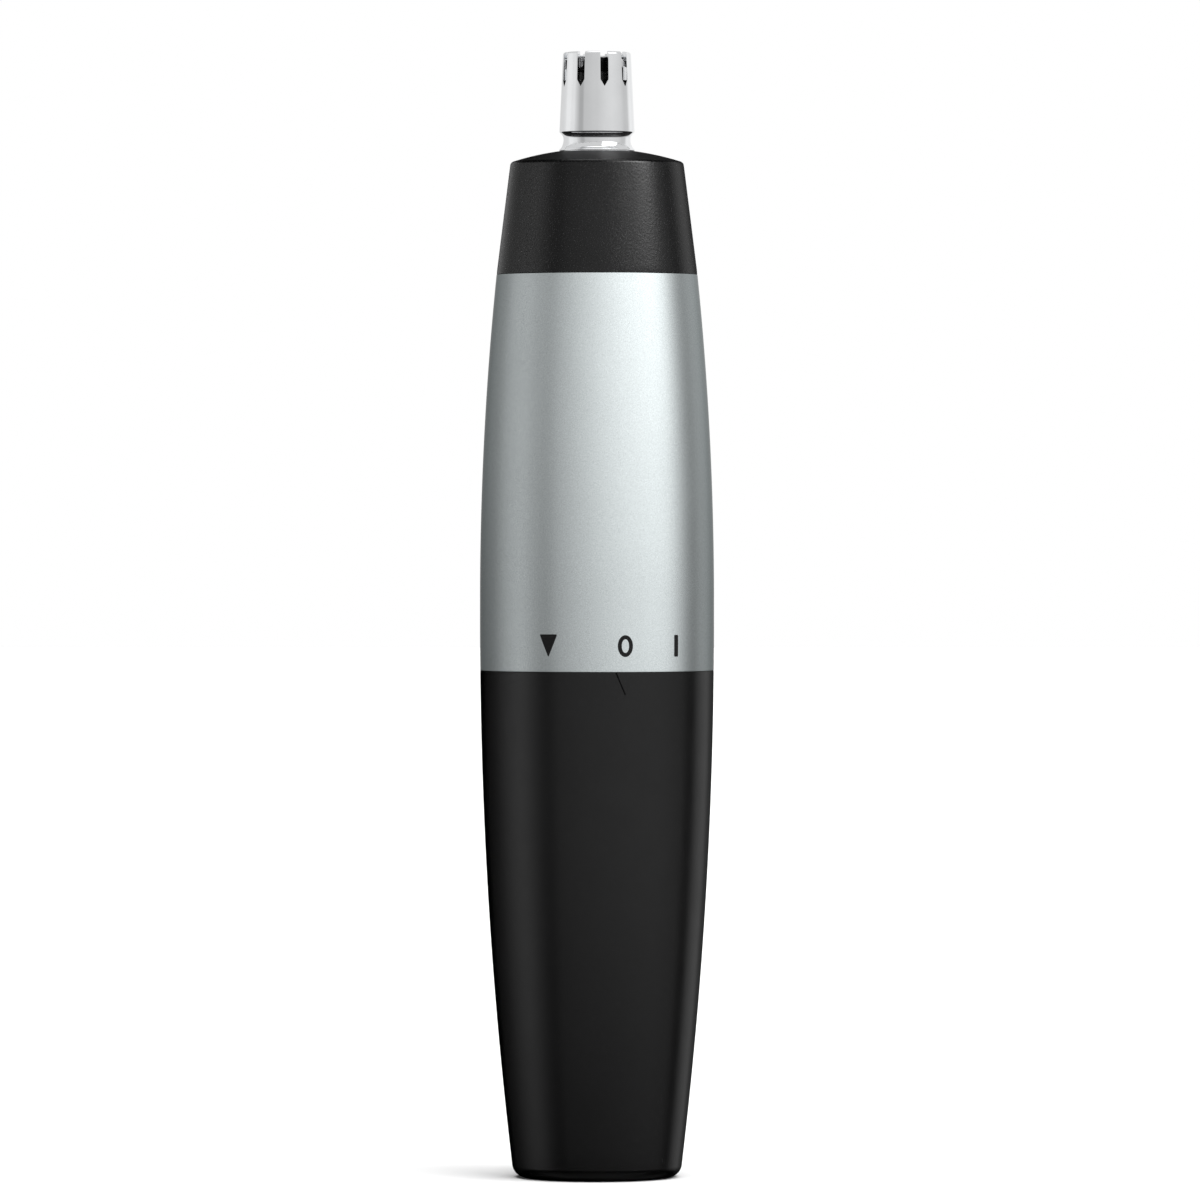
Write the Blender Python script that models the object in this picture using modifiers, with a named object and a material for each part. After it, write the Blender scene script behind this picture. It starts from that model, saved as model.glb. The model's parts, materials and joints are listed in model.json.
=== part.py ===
"""A battery nose hair trimmer that stands on its lower end, with every piece as its own solid.

Metres, +Z up. The origin is the centre of the flat bottom, and the front, with the switch marks, faces -Y.
Lengths below are in millimetres, which MM turns into metres. A bearing is an angle about the long axis in
degrees, counted from the front (-Y) towards +X, so that a positive turn about +Z adds to it.
"""

import math

import bmesh
import bpy
from mathutils import Vector
from mathutils.geometry import interpolate_bezier

MM = 0.001

# How finely round shapes are cut
OUTER_STEPS = 40
INNER_STEPS = 30
SMALL_STEPS = 20
TINY_STEPS = 12
ARC_STEP = 9.0
SEAL_SIDES = 6
MERGE = 1e-6

# The casing's outside: two shallow arcs that meet a short straight belly
BELLY_RADIUS = 13.0
BELLY_LOW = 61.3
BELLY_HIGH = 64.1
LOWER_ARC = 505.0
UPPER_ARC = 355.0

# Where the casing's three shells meet
SEAM = 0.2
BARREL_TOP = 56.1
SLEEVE_LOW = BARREL_TOP + SEAM
SLEEVE_HIGH = 100.2
CAP_LOW = SLEEVE_HIGH + SEAM

# Battery barrel
BARREL_WALL = 1.6
BARREL_FLOOR = 1.8
BOTTOM_ROUND = 1.5
MOUTH_LOW = 43.5
MOUTH_RADIUS = 11.5
RIB_INNER = 7.45
RIB_TOP = 43.0
RIB_WIDTH = 1.2
RIB_BEARINGS = (45.0, 135.0, 225.0, 315.0)

# Bayonet between the barrel and the collar: three lugs under three ledges
BAYONET_COUNT = 3
LEDGE_INNER = 11.0
LEDGE_LOW = 51.3
LEDGE_HIGH = 52.7
LEDGE_FIRST = -42.0
LEDGE_LAST = 26.0
STOP_WIDTH = 2.5
STOP_LOW = 49.0
RELEASE_STOP = 50.5
LUG_LOW = 49.6
LUG_HIGH = 51.1
LUG_RADIUS = 11.35
LUG_HALF_ANGLE = 10.0
WELD_DEPTH = 0.4

# The barrel's pointer, under the O mark
POINTER_BEARING = 13.9
POINTER_HEIGHT = 2.3
POINTER_HALF_WIDTH = 1.0
POINTER_DEPTH = 0.25

# Switch collar
SPIGOT_RADIUS = 10.6
SPIGOT_BORE = 8.6
SPIGOT_LOW = 46.0
COLLAR_RADIUS = 11.5
COLLAR_HIGH = 60.0
COLLAR_FLOOR_LOW = 57.6
COLLAR_FLOOR_HIGH = 58.8
COLLAR_CUP_RADIUS = 9.8
BARREL_SEAL_HEIGHT = 54.35
BARREL_SEAL_MAJOR = 10.76
BARREL_SEAL_MINOR = 0.65
BARREL_GROOVE_RADIUS = 10.05
GROOVE_HALF_WIDTH = 0.75

# Battery, one AA cell of 14.5 by 50.5 mm
CELL_LOW = 6.4
CELL_CAN_RADIUS = 7.0
CELL_CAN_HIGH = 55.6
CELL_WRAP_INNER = 7.1
CELL_WRAP_OUTER = 7.25
CELL_CAP_RADIUS = 2.75
CELL_HIGH = CELL_LOW + 50.5

# Contacts and wires
STRIP_WIDTH = 3.0
STRIP_THICKNESS = 0.25
STRIP_BEARING = -13.5
STRIP_OFF_WALL = 0.45
STRIP_BASE = 2.05
STRIP_BASE_RADIUS = 5.4
STRIP_TOP = 49.3
CELL_SPRING_LOW_RADIUS = 5.0
CELL_SPRING_HIGH_RADIUS = 3.0
CELL_SPRING_TURNS = 4
CELL_SPRING_WIRE = 0.35
LEAF_BEARING = 15.0
LEAF_THICKNESS = 0.2
LEAF_OUTER = 10.8
LEAF_INNER = 8.02
LEAF_LOW = 45.5
LEAF_TOP = 49.0
CONTACT_RADIUS = 3.5
CONTACT_LOW = CELL_HIGH + 0.15
CONTACT_HIGH = CONTACT_LOW + 0.3
TAB_RADIUS = 2.65
TAB_TOP = 59.8
WIRE_RADIUS = 0.5
WIRE_POINTS = 10
WIRE_LOW = 59.5
WIRE_HIGH = 60.7

# Main sleeve and chassis
SLEEVE_WALL = 1.3
CHASSIS_INSET = 1.45
CHASSIS_LOW = COLLAR_HIGH + 0.15
SHOULDER = 99.9
NECK_RADIUS = 8.75
NECK_HIGH = 105.0
HEAD_SEAL_HEIGHT = 102.5
HEAD_SEAL_MAJOR = 8.365
HEAD_SEAL_MINOR = 0.565
HEAD_GROOVE_RADIUS = 7.75
KEYWAY_LOW = 103.6
KEYWAY_INNER = 8.2
KEYWAY_WIDTH = 2.5
POCKET_RADIUS = 10.2
POCKET_HALF = 7.7
POCKET_HIGH = 87.2
BOSS_HOLE_RADIUS = 3.3
CHAMBER_LOW = 89.4
CHAMBER_HIGH = 102.6
CHAMBER_RADIUS = 6.5
SPINDLE_HOLE = 2.3
SEAL_SEAT_RADIUS = 3.3
SEAL_SEAT_LOW = 103.0

# Motor, a flat-sided can of 20.1 by 15.1 mm
MOTOR_RADIUS = 10.05
MOTOR_HALF = 7.55
MOTOR_WALL = 0.5
CAN_LOW = 64.0
CAN_HIGH = 87.0
BELL_LOW = 62.0
BELL_HIGH = 63.9
MOTOR_BOSS_RADIUS = 3.05
MOTOR_BOSS_BORE = 2.7
MOTOR_BOSS_HIGH = 88.6
BUSH_BORE = 1.1
UPPER_BUSH_RADIUS = 2.6
LOWER_BUSH_RADIUS = 1.9
SHAFT_RADIUS = 1.0
SHAFT_LOW = 62.4
SHAFT_HIGH = 97.0
MAGNET_INNER = 7.4
MAGNET_OUTER = 9.4
MAGNET_HALF_ANGLE = 44.0
MAGNET_LOW = 68.0
MAGNET_HIGH = 83.0
CORE_LOW = 70.0
CORE_HIGH = 82.0
CORE_BORE = 1.05
CORE_HUB = 2.7
POLE_HALF_WIDTH = 1.3
SHOE_INNER = 5.7
SHOE_OUTER = 6.7
SHOE_HALF_ANGLE = 50.0
WINDING_INNER = 3.1
WINDING_OUTER = 4.7
WINDING_HALF_WIDTH = 2.9
WINDING_OVERHANG = 1.2
COMMUTATOR_RADIUS = 2.2
COMMUTATOR_LOW = 65.5
COMMUTATOR_HIGH = 68.2
TERMINAL_MIDDLE = 3.85
TERMINAL_LOW = 59.9
BRUSH_THICKNESS = 0.3
BRUSH_WIDTH = 2.0

# Drive coupler on the motor shaft
COUPLER_LOW = 90.5
COUPLER_SHAFT_HOLE = 1.1
COUPLER_HOLE_HIGH = 97.5
SPINDLE_RADIUS = 2.0
CLAW_LOW = 105.3
CLAW_FLOOR = 106.2
CLAW_HIGH = 108.0
CLAW_RADIUS = 2.8
CLAW_BORE = 1.75
CLAW_SLOT = 1.6

# Head cap: a cone under a shallow dome
CONE_SLOPE = 0.1247
CAP_WALL = 1.5
CAP_BORE = 9.0
CAP_BORE_HIGH = 105.6
DOME_APEX = 114.2
DOME_RADIUS = 31.0
CAP_EDGE_RADIUS = 9.6
CAP_EDGE_ROUND = 0.5
CAP_ROOF = 111.0
GUARD_HOLE = 3.85
GUARD_SEAT_RADIUS = 4.5
GUARD_SEAT = 113.88
CAP_BOSS_RADIUS = 5.3
CAP_BOSS_LOW = 109.5
KEY_INNER = 8.5
KEY_LOW = 103.9
KEY_HIGH = 105.4
KEY_WIDTH = 2.0
KEY_BEARINGS = (90.0, 270.0)

# Cutter guard
GUARD_TOP = 124.9
GUARD_TOP_RADIUS = 3.76
GUARD_TOP_ROUND = 0.35
GUARD_SKIRT_RADIUS = 4.17
GUARD_SKIRT = 116.0
NECK_IN_RADIUS = 3.72
NECK_IN_HIGH = 115.35
NECK_IN_LOW = 114.75
FOOT_RADIUS = 4.2
FOOT_HIGH = 114.1
FOOT_LOW = 113.95
SHANK_LOW = 108.6
GUARD_BORE = 3.35
END_DISC = 0.62
CROWN_INNER = 3.2
CROWN_DEPTH = 0.45
SLOT_COUNT = 9
SLOT_BEARING = 12.4
SLOT_HALF_WIDTH = 0.45
SLOT_SHOULDER = 121.75
SLOT_TIP = 121.0
SLOT_INNER = 1.7
CLIP_INNER = 3.8
CLIP_OUTER = 4.8
CLIP_LOW = 108.7
CLIP_HIGH = 109.4
CLIP_GAP = 2.0

# Cutter bush, stem, spring and blades
BUSH_FLANGE_LOW = 108.2
BUSH_FLANGE_HIGH = 108.45
BUSH_FLANGE_RADIUS = 4.6
BUSH_RADIUS = 3.25
BUSH_HIGH = 111.0
STEM_LOW = 106.75
STEM_COLLAR_LOW = 114.1
STEM_COLLAR_HIGH = 114.8
STEM_COLLAR_RADIUS = 2.7
STEM_BODY_RADIUS = 2.35
STEM_BODY_HIGH = 122.66
STEM_TIP_RADIUS = 0.9
STEM_TIP = 123.9
SPRING_RADIUS = 2.3
SPRING_WIRE = 0.2
SPRING_TURNS = 3.5
DOG_LOW = 106.6
DOG_HIGH = 107.9
DOG_HALF_LENGTH = 2.7
DOG_WIDTH = 1.2
DOG_BOSS = 1.6
VANE_COUNT = 5
VANE_BEARING = -36.6
VANE_THICKNESS = 0.4
VANE_RADIUS = 3.2
VANE_TOP = 124.15
VANE_TIP_LOW = 123.1
VANE_ROOT_LOW = 123.75
BLADE_HUB_RADIUS = 2.2
BLADE_HUB_LOW = 122.7
BLADE_HUB_BORE = 1.0

# Colour, roughness and metallic value of each finish
FINISHES = {
    "black_satin": ((0.022, 0.022, 0.023), 0.38, 0.0),
    "black_grained": ((0.024, 0.024, 0.025), 0.55, 0.0),
    "silver_paint": ((0.55, 0.58, 0.58), 0.32, 0.85),
    "chrome": ((0.85, 0.86, 0.87), 0.08, 1.0),
    "steel": ((0.62, 0.62, 0.63), 0.25, 1.0),
    "frame_plastic": ((0.09, 0.095, 0.10), 0.5, 0.0),
    "acetal": ((0.75, 0.75, 0.72), 0.45, 0.0),
    "rubber": ((0.03, 0.03, 0.03), 0.75, 0.0),
    "nickel": ((0.66, 0.63, 0.56), 0.3, 1.0),
    "copper": ((0.75, 0.33, 0.16), 0.35, 1.0),
    "brass": ((0.75, 0.58, 0.27), 0.3, 1.0),
    "ferrite": ((0.07, 0.07, 0.075), 0.7, 0.0),
    "cell_wrap": ((0.10, 0.16, 0.22), 0.35, 0.0),
    "red_insulation": ((0.55, 0.05, 0.04), 0.5, 0.0),
    "black_insulation": ((0.03, 0.03, 0.03), 0.5, 0.0),
}


def clear_scene():
    for obj in list(bpy.data.objects):
        bpy.data.objects.remove(obj, do_unlink=True)


def new_collection(name):
    collection = bpy.data.collections.new(name)
    bpy.context.scene.collection.children.link(collection)
    return collection


clear_scene()
PARTS = new_collection("nose_hair_trimmer")
CUTTERS = new_collection("cutters")


# --- Points and outlines -----------------------------------------------------------------------------


def polar(radius, bearing):
    """The (x, y) at this radius and bearing."""
    angle = math.radians(bearing)
    return (radius * math.sin(angle), -radius * math.cos(angle))


def arc(radius, first, last):
    """Points of an arc about the axis, from bearing first to bearing last."""
    pieces = max(1, round(abs(last - first) / ARC_STEP))
    return [polar(radius, first + (last - first) * i / pieces) for i in range(pieces + 1)]


def bow(reach, radius):
    """How far an arc of this radius has fallen away from its tangent after reach."""
    return radius - math.sqrt(radius**2 - reach**2)


def outer_radius(z):
    """The casing's outside radius at height z, below the head cap."""
    if z < BELLY_LOW:
        return BELLY_RADIUS - bow(BELLY_LOW - z, LOWER_ARC)
    if z > BELLY_HIGH:
        return BELLY_RADIUS - bow(z - BELLY_HIGH, UPPER_ARC)
    return BELLY_RADIUS


def cone_radius(z):
    """The head cap's outside radius at height z."""
    return outer_radius(CAP_LOW) - CONE_SLOPE * (z - CAP_LOW)


def dome_height(radius):
    """The height of the head cap's dome at this radius."""
    return DOME_APEX - bow(radius, DOME_RADIUS)


def casing_wall(first, last, inset=0.0, pieces=7):
    """Profile points along the casing, set in by inset, from height first to height last."""
    heights = [first + (last - first) * i / pieces for i in range(pieces + 1)]
    return [(outer_radius(z) - inset, z) for z in heights]


def rounded(before, corner, after, radius, pieces=4):
    """The arc that rounds a corner of an outline, as points."""
    corner = Vector(corner)
    back = (Vector(before) - corner).normalized()
    ahead = (Vector(after) - corner).normalized()
    half = back.angle(ahead) / 2
    centre = corner + (back + ahead).normalized() * radius / math.sin(half)
    start = corner + back * radius / math.tan(half) - centre
    end = corner + ahead * radius / math.tan(half) - centre
    first = math.atan2(start.y, start.x)
    turn = math.remainder(math.atan2(end.y, end.x) - first, math.tau)
    angles = [first + turn * i / pieces for i in range(pieces + 1)]
    return [(centre.x + radius * math.cos(a), centre.y + radius * math.sin(a)) for a in angles]


def flat_sided(radius, half):
    """The outline of a circle cut flat at y = half and y = -half."""
    corner = math.degrees(math.acos(half / radius))
    return arc(radius, corner, 180 - corner) + arc(radius, 180 + corner, 360 - corner)


def box_outline(x_low, x_high, y_low, y_high):
    return [(x_low, y_low), (x_high, y_low), (x_high, y_high), (x_low, y_high)]


# --- Solids ------------------------------------------------------------------------------------------


def add_object(name, data):
    obj = bpy.data.objects.new(name, data)
    PARTS.objects.link(obj)
    return obj


def turned(name, profile, steps):
    """A profile of (radius, height) points turned about the axis. It runs down the outer side, and a profile
    that doesn't start on the axis is closed into a ring."""
    edges = [(i, i + 1) for i in range(len(profile) - 1)]
    if profile[0][0] > 0:
        edges.append((len(profile) - 1, 0))
    mesh = bpy.data.meshes.new(name)
    mesh.from_pydata([(radius * MM, 0.0, z * MM) for radius, z in profile], edges, [])
    obj = add_object(name, mesh)
    screw = obj.modifiers.new("Turn", "SCREW")
    screw.axis = "Z"
    screw.steps = steps
    screw.render_steps = steps
    screw.use_merge_vertices = True
    screw.merge_threshold = MERGE
    screw.use_smooth_shade = True
    return obj


def ring(name, inner, outer, low, high, steps):
    return turned(name, [(inner, high), (outer, high), (outer, low), (inner, low)], steps)


def rod(name, radius, low, high, steps):
    """A cylinder on the axis."""
    bpy.ops.mesh.primitive_cylinder_add(
        vertices=steps,
        radius=radius * MM,
        depth=(high - low) * MM,
        location=(0.0, 0.0, (low + high) / 2 * MM),
    )
    obj = bpy.context.object
    obj.name = name
    for collection in obj.users_collection:
        collection.objects.unlink(obj)
    PARTS.objects.link(obj)
    return obj


def torus(name, major, minor, height):
    """An O-ring round the axis."""
    bpy.ops.mesh.primitive_torus_add(
        major_radius=major * MM,
        minor_radius=minor * MM,
        major_segments=OUTER_STEPS,
        minor_segments=SEAL_SIDES,
        location=(0.0, 0.0, height * MM),
    )
    obj = bpy.context.object
    obj.name = name
    for collection in obj.users_collection:
        collection.objects.unlink(obj)
    PARTS.objects.link(obj)
    return obj


def meshed(guide, name):
    """The guide curve's shape as a closed mesh object. The guide is removed."""
    bpy.context.view_layer.update()
    graph = bpy.context.evaluated_depsgraph_get()
    mesh = bpy.data.meshes.new_from_object(guide.evaluated_get(graph))
    mesh.name = name
    shape = bmesh.new()
    shape.from_mesh(mesh)
    bmesh.ops.remove_doubles(shape, verts=shape.verts, dist=MERGE)
    bmesh.ops.recalc_face_normals(shape, faces=shape.faces)
    shape.to_mesh(mesh)
    shape.free()
    obj = add_object(name, mesh)
    obj.matrix_world = guide.matrix_world
    bpy.data.objects.remove(guide, do_unlink=True)
    return obj


def plate(name, loops, thickness, location, rotation):
    """A flat solid from an outline, and from the holes after it in loops."""
    curve = bpy.data.curves.new(name, "CURVE")
    curve.dimensions = "2D"
    curve.fill_mode = "BOTH"
    curve.extrude = thickness / 2 * MM
    for loop in loops:
        spline = curve.splines.new("POLY")
        spline.points.add(len(loop) - 1)
        for point, (x, y) in zip(spline.points, loop):
            point.co = (x * MM, y * MM, 0.0, 1.0)
        spline.use_cyclic_u = True
    guide = add_object(name + "_outline", curve)
    guide.location = Vector(location) * MM
    guide.rotation_euler = [math.radians(angle) for angle in rotation]
    return meshed(guide, name)


def slab(name, outline, low, high, holes=()):
    """A level solid with this (x, y) outline."""
    return plate(name, [outline, *holes], high - low, (0, 0, (low + high) / 2), (0, 0, 0))


def fin(name, outline, width, bearing):
    """An upright solid in a plane through the axis. Its outline is in (radius, height)."""
    return plate(name, [outline], width, (0, 0, 0), (90, 0, bearing - 90))


def facing(name, outline, inner, outer, bearing, tilt=0.0, holes=()):
    """An upright solid across a radius. Its outline is in (distance along the tangent, height)."""
    x, y = polar((inner + outer) / 2, bearing)
    return plate(name, [outline, *holes], outer - inner, (x, y, 0), (90, 0, bearing + tilt))


def arc_block(name, inner, outer, first, last, low, high):
    """A piece of a ring between two bearings."""
    return slab(name, arc(outer, first, last) + arc(inner, last, first), low, high)


def tube_along(name, points, radius):
    """A round wire through these points, in millimetres."""
    curve = bpy.data.curves.new(name, "CURVE")
    curve.dimensions = "3D"
    curve.fill_mode = "FULL"
    curve.bevel_depth = radius * MM
    curve.bevel_resolution = 2
    curve.use_fill_caps = True
    spline = curve.splines.new("POLY")
    spline.points.add(len(points) - 1)
    for point, place in zip(spline.points, points):
        point.co = (*(Vector(place) * MM), 1.0)
    return add_object(name, curve)


def coil(name, radius_low, radius_high, low, high, turns, wire):
    """A round spring on the axis, between the heights of its wire's centre line."""
    count = round(turns * TINY_STEPS)
    points = []
    for i in range(count + 1):
        share = i / count
        x, y = polar(radius_low + (radius_high - radius_low) * share, 360 * turns * share)
        points.append((x, y, low + (high - low) * share))
    return tube_along(name, points, wire)


def boolean(obj, other, operation):
    modifier = obj.modifiers.new(other.name, "BOOLEAN")
    modifier.operation = operation
    modifier.solver = "EXACT"
    modifier.object = other
    PARTS.objects.unlink(other)
    CUTTERS.objects.link(other)
    other.hide_render = True
    other.display_type = "WIRE"


def join(obj, *others):
    for other in others:
        boolean(obj, other, "UNION")


def cut(obj, *others):
    for other in others:
        boolean(obj, other, "DIFFERENCE")


# --- Battery barrel ----------------------------------------------------------------------------------


def make_barrel():
    inside = casing_wall(BARREL_FLOOR, MOUTH_LOW, inset=BARREL_WALL, pieces=4)
    outside = casing_wall(BARREL_TOP, BOTTOM_ROUND * 2)
    foot = rounded(outside[-1], (outer_radius(0), 0), (0, 0), BOTTOM_ROUND)
    mouth = [(MOUTH_RADIUS, MOUTH_LOW + MOUTH_RADIUS - inside[-1][0]), (MOUTH_RADIUS, BARREL_TOP)]
    profile = [(0, BARREL_FLOOR), *inside, *mouth, *outside, *foot, (0, 0)]
    barrel = turned("battery_barrel", profile, OUTER_STEPS)

    rib_wall = casing_wall(BARREL_FLOOR - WELD_DEPTH, RIB_TOP, inset=BARREL_WALL - WELD_DEPTH, pieces=3)
    rib = [(RIB_INNER, RIB_TOP), (RIB_INNER, BARREL_FLOOR - WELD_DEPTH), *rib_wall]
    for bearing in RIB_BEARINGS:
        join(barrel, fin(f"barrel_rib_{bearing:.0f}", rib, RIB_WIDTH, bearing))

    for k in range(BAYONET_COUNT):
        join(barrel, *make_ledge_and_stops(k))
    cut(barrel, make_pointer())
    return barrel


def make_ledge_and_stops(k):
    """One ledge over a lug, with the stop at its on end and the one that ends the turn to release."""
    turn = 360.0 * k / BAYONET_COUNT
    on_stop = (LEDGE_FIRST, LEDGE_FIRST + STOP_WIDTH)
    release_stop = (RELEASE_STOP, RELEASE_STOP + STOP_WIDTH)
    blocks = [
        ("ledge", (LEDGE_FIRST, LEDGE_LAST), LEDGE_LOW),
        ("on_stop", on_stop, STOP_LOW),
        ("release_stop", release_stop, STOP_LOW),
    ]
    outer = MOUTH_RADIUS + WELD_DEPTH
    return [
        arc_block(f"{name}_{k}", LEDGE_INNER, outer, first + turn, last + turn, low, LEDGE_HIGH)
        for name, (first, last), low in blocks
    ]


def make_pointer():
    """The cutter of the pointer: a triangle that is deepest along its left edge and runs out to the right."""
    top = BARREL_TOP + SEAM
    outline = [(-POINTER_HALF_WIDTH, top), (POINTER_HALF_WIDTH, top), (0, BARREL_TOP - POINTER_HEIGHT)]
    tilt = math.degrees(math.atan2(POINTER_DEPTH, 2 * POINTER_HALF_WIDTH))
    middle = outer_radius(BARREL_TOP) - POINTER_DEPTH / 2
    return facing("pointer", outline, middle, middle + 1, POINTER_BEARING, tilt=-tilt)


def make_negative_contact():
    wall = casing_wall(MOUTH_LOW - 1, CELL_LOW, inset=BARREL_WALL + STRIP_OFF_WALL, pieces=3)
    foot = outer_radius(STRIP_BASE) - BARREL_WALL - STRIP_OFF_WALL
    mouth_outer = LEDGE_INNER + STRIP_THICKNESS
    outside = [(mouth_outer, STRIP_TOP), (mouth_outer, MOUTH_LOW + 1.7), *wall, (foot, STRIP_BASE)]
    inside = [(radius - STRIP_THICKNESS, z) for radius, z in outside[:-1]]
    step = STRIP_BASE + STRIP_THICKNESS
    inside.append((foot - STRIP_THICKNESS, step))
    outline = [*outside, (0, STRIP_BASE), (0, step), *reversed(inside)]
    strip = fin("negative_strip", outline, STRIP_WIDTH, STRIP_BEARING)
    join(strip, rod("strip_base", STRIP_BASE_RADIUS, STRIP_BASE, step, INNER_STEPS))
    low = step + CELL_SPRING_WIRE + 0.1
    high = CELL_LOW - CELL_SPRING_WIRE - 0.15
    radii = (CELL_SPRING_LOW_RADIUS, CELL_SPRING_HIGH_RADIUS)
    spring = coil("negative_spring", *radii, low, high, CELL_SPRING_TURNS, CELL_SPRING_WIRE)
    return [strip, spring]


def make_battery():
    can = rod("battery_can", CELL_CAN_RADIUS, CELL_LOW, CELL_CAN_HIGH, INNER_STEPS)
    span = (CELL_LOW + 0.1, CELL_CAN_HIGH - 0.1)
    wrap = ring("battery_wrap", CELL_WRAP_INNER, CELL_WRAP_OUTER, *span, INNER_STEPS)
    cap = rod("battery_positive_cap", CELL_CAP_RADIUS, CELL_CAN_HIGH + 0.15, CELL_HIGH, SMALL_STEPS)
    return [can, wrap, cap]


# --- Switch collar and its contacts ------------------------------------------------------------------


def make_collar():
    groove_high = BARREL_SEAL_HEIGHT + GROOVE_HALF_WIDTH
    groove_low = BARREL_SEAL_HEIGHT - GROOVE_HALF_WIDTH
    collar = turned(
        "switch_collar",
        [
            (0, COLLAR_FLOOR_HIGH),
            (COLLAR_CUP_RADIUS, COLLAR_FLOOR_HIGH),
            (COLLAR_CUP_RADIUS, COLLAR_HIGH),
            (COLLAR_RADIUS, COLLAR_HIGH),
            (COLLAR_RADIUS, SLEEVE_LOW),
            (SPIGOT_RADIUS, SLEEVE_LOW),
            (SPIGOT_RADIUS, groove_high),
            (BARREL_GROOVE_RADIUS, groove_high),
            (BARREL_GROOVE_RADIUS, groove_low),
            (SPIGOT_RADIUS, groove_low),
            (SPIGOT_RADIUS, SPIGOT_LOW),
            (SPIGOT_BORE, SPIGOT_LOW),
            (SPIGOT_BORE, COLLAR_FLOOR_LOW),
            (0, COLLAR_FLOOR_LOW),
        ],
        OUTER_STEPS,
    )
    for k in range(BAYONET_COUNT):
        middle = 360.0 * k / BAYONET_COUNT
        first = middle - LUG_HALF_ANGLE
        last = middle + LUG_HALF_ANGLE
        inner = SPIGOT_RADIUS - WELD_DEPTH
        join(collar, arc_block(f"lug_{k}", inner, LUG_RADIUS, first, last, LUG_LOW, LUG_HIGH))

    clearance = 0.3
    leaf_room = STRIP_WIDTH / 2 + clearance
    leaf_back = LEAF_OUTER - LEAF_THICKNESS - clearance
    leaf_pocket = box_outline(-leaf_room, leaf_room, SPIGOT_LOW - 1, LEAF_TOP + clearance)
    cut(collar, facing("leaf_pocket", leaf_pocket, leaf_back, leaf_back + 1, LEAF_BEARING))

    floor = box_outline(-leaf_room, leaf_room, COLLAR_FLOOR_LOW - 1, COLLAR_FLOOR_HIGH + 1)
    leg_low = LEAF_INNER - clearance
    leg_high = LEAF_INNER + LEAF_THICKNESS + clearance
    cut(collar, facing("leaf_slot", floor, leg_low, leg_high, LEAF_BEARING))
    tab_slot = box_outline(-TAB_RADIUS - 0.5, -TAB_RADIUS + 0.5, -1.3, 1.3)
    cut(collar, slab("tab_slot", tab_slot, COLLAR_FLOOR_LOW - 1, COLLAR_FLOOR_HIGH + 1))
    return collar


def make_contacts():
    """The plate over the battery's button, and the leaf that meets the barrel's strip at I."""
    positive = rod("positive_contact", CONTACT_RADIUS, CONTACT_LOW, CONTACT_HIGH, SMALL_STEPS)
    tab = box_outline(-TAB_RADIUS - 0.15, -TAB_RADIUS + 0.15, -1.0, 1.0)
    join(positive, slab("positive_tab", tab, CONTACT_LOW + 0.05, TAB_TOP))

    leaf_inner = LEAF_OUTER - LEAF_THICKNESS
    leg_outer = LEAF_INNER + LEAF_THICKNESS
    leaf = fin(
        "switch_contact",
        [
            (LEAF_OUTER, LEAF_TOP),
            (LEAF_OUTER, LEAF_LOW),
            (LEAF_INNER, LEAF_LOW),
            (LEAF_INNER, TAB_TOP),
            (leg_outer, TAB_TOP),
            (leg_outer, LEAF_LOW + LEAF_THICKNESS),
            (leaf_inner, LEAF_LOW + LEAF_THICKNESS),
            (leaf_inner, LEAF_TOP),
        ],
        STRIP_WIDTH,
        LEAF_BEARING,
    )
    return [positive, leaf]


def wire(name, start, start_pull, end_pull, end):
    """An insulated wire along one smooth curve, which leaves each end towards its pull."""
    points = interpolate_bezier(Vector(start), Vector(start_pull), Vector(end_pull), Vector(end), WIRE_POINTS)
    return tube_along(name, points, WIRE_RADIUS)


def make_wires():
    """From each contact to the motor terminal on its side, through the collar's cup."""
    tab = (-TAB_RADIUS, 1.6, WIRE_LOW)
    tab_pull = (-TAB_RADIUS, 5.6, WIRE_LOW)
    left = (-TERMINAL_MIDDLE, 1.7, WIRE_HIGH)
    left_pull = (-TERMINAL_MIDDLE, 6.4, WIRE_HIGH)
    x, y = polar(LEAF_INNER - 0.8, LEAF_BEARING)
    leaf = (x, y, WIRE_LOW)
    leaf_pull = (x - 0.4, y + 2.0, WIRE_LOW)
    right = (TERMINAL_MIDDLE, -1.7, WIRE_HIGH)
    right_pull = (TERMINAL_MIDDLE, -4.6, WIRE_HIGH)
    positive = wire("wire_positive", tab, tab_pull, left_pull, left)
    negative = wire("wire_negative", leaf, leaf_pull, right_pull, right)
    return [positive, negative]


# --- Main sleeve and chassis -------------------------------------------------------------------------


def make_sleeve():
    inside = casing_wall(SLEEVE_LOW, SLEEVE_HIGH, inset=SLEEVE_WALL, pieces=4)
    outside = casing_wall(SLEEVE_HIGH, SLEEVE_LOW)
    return turned("main_sleeve", [*inside, *outside], OUTER_STEPS)


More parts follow.
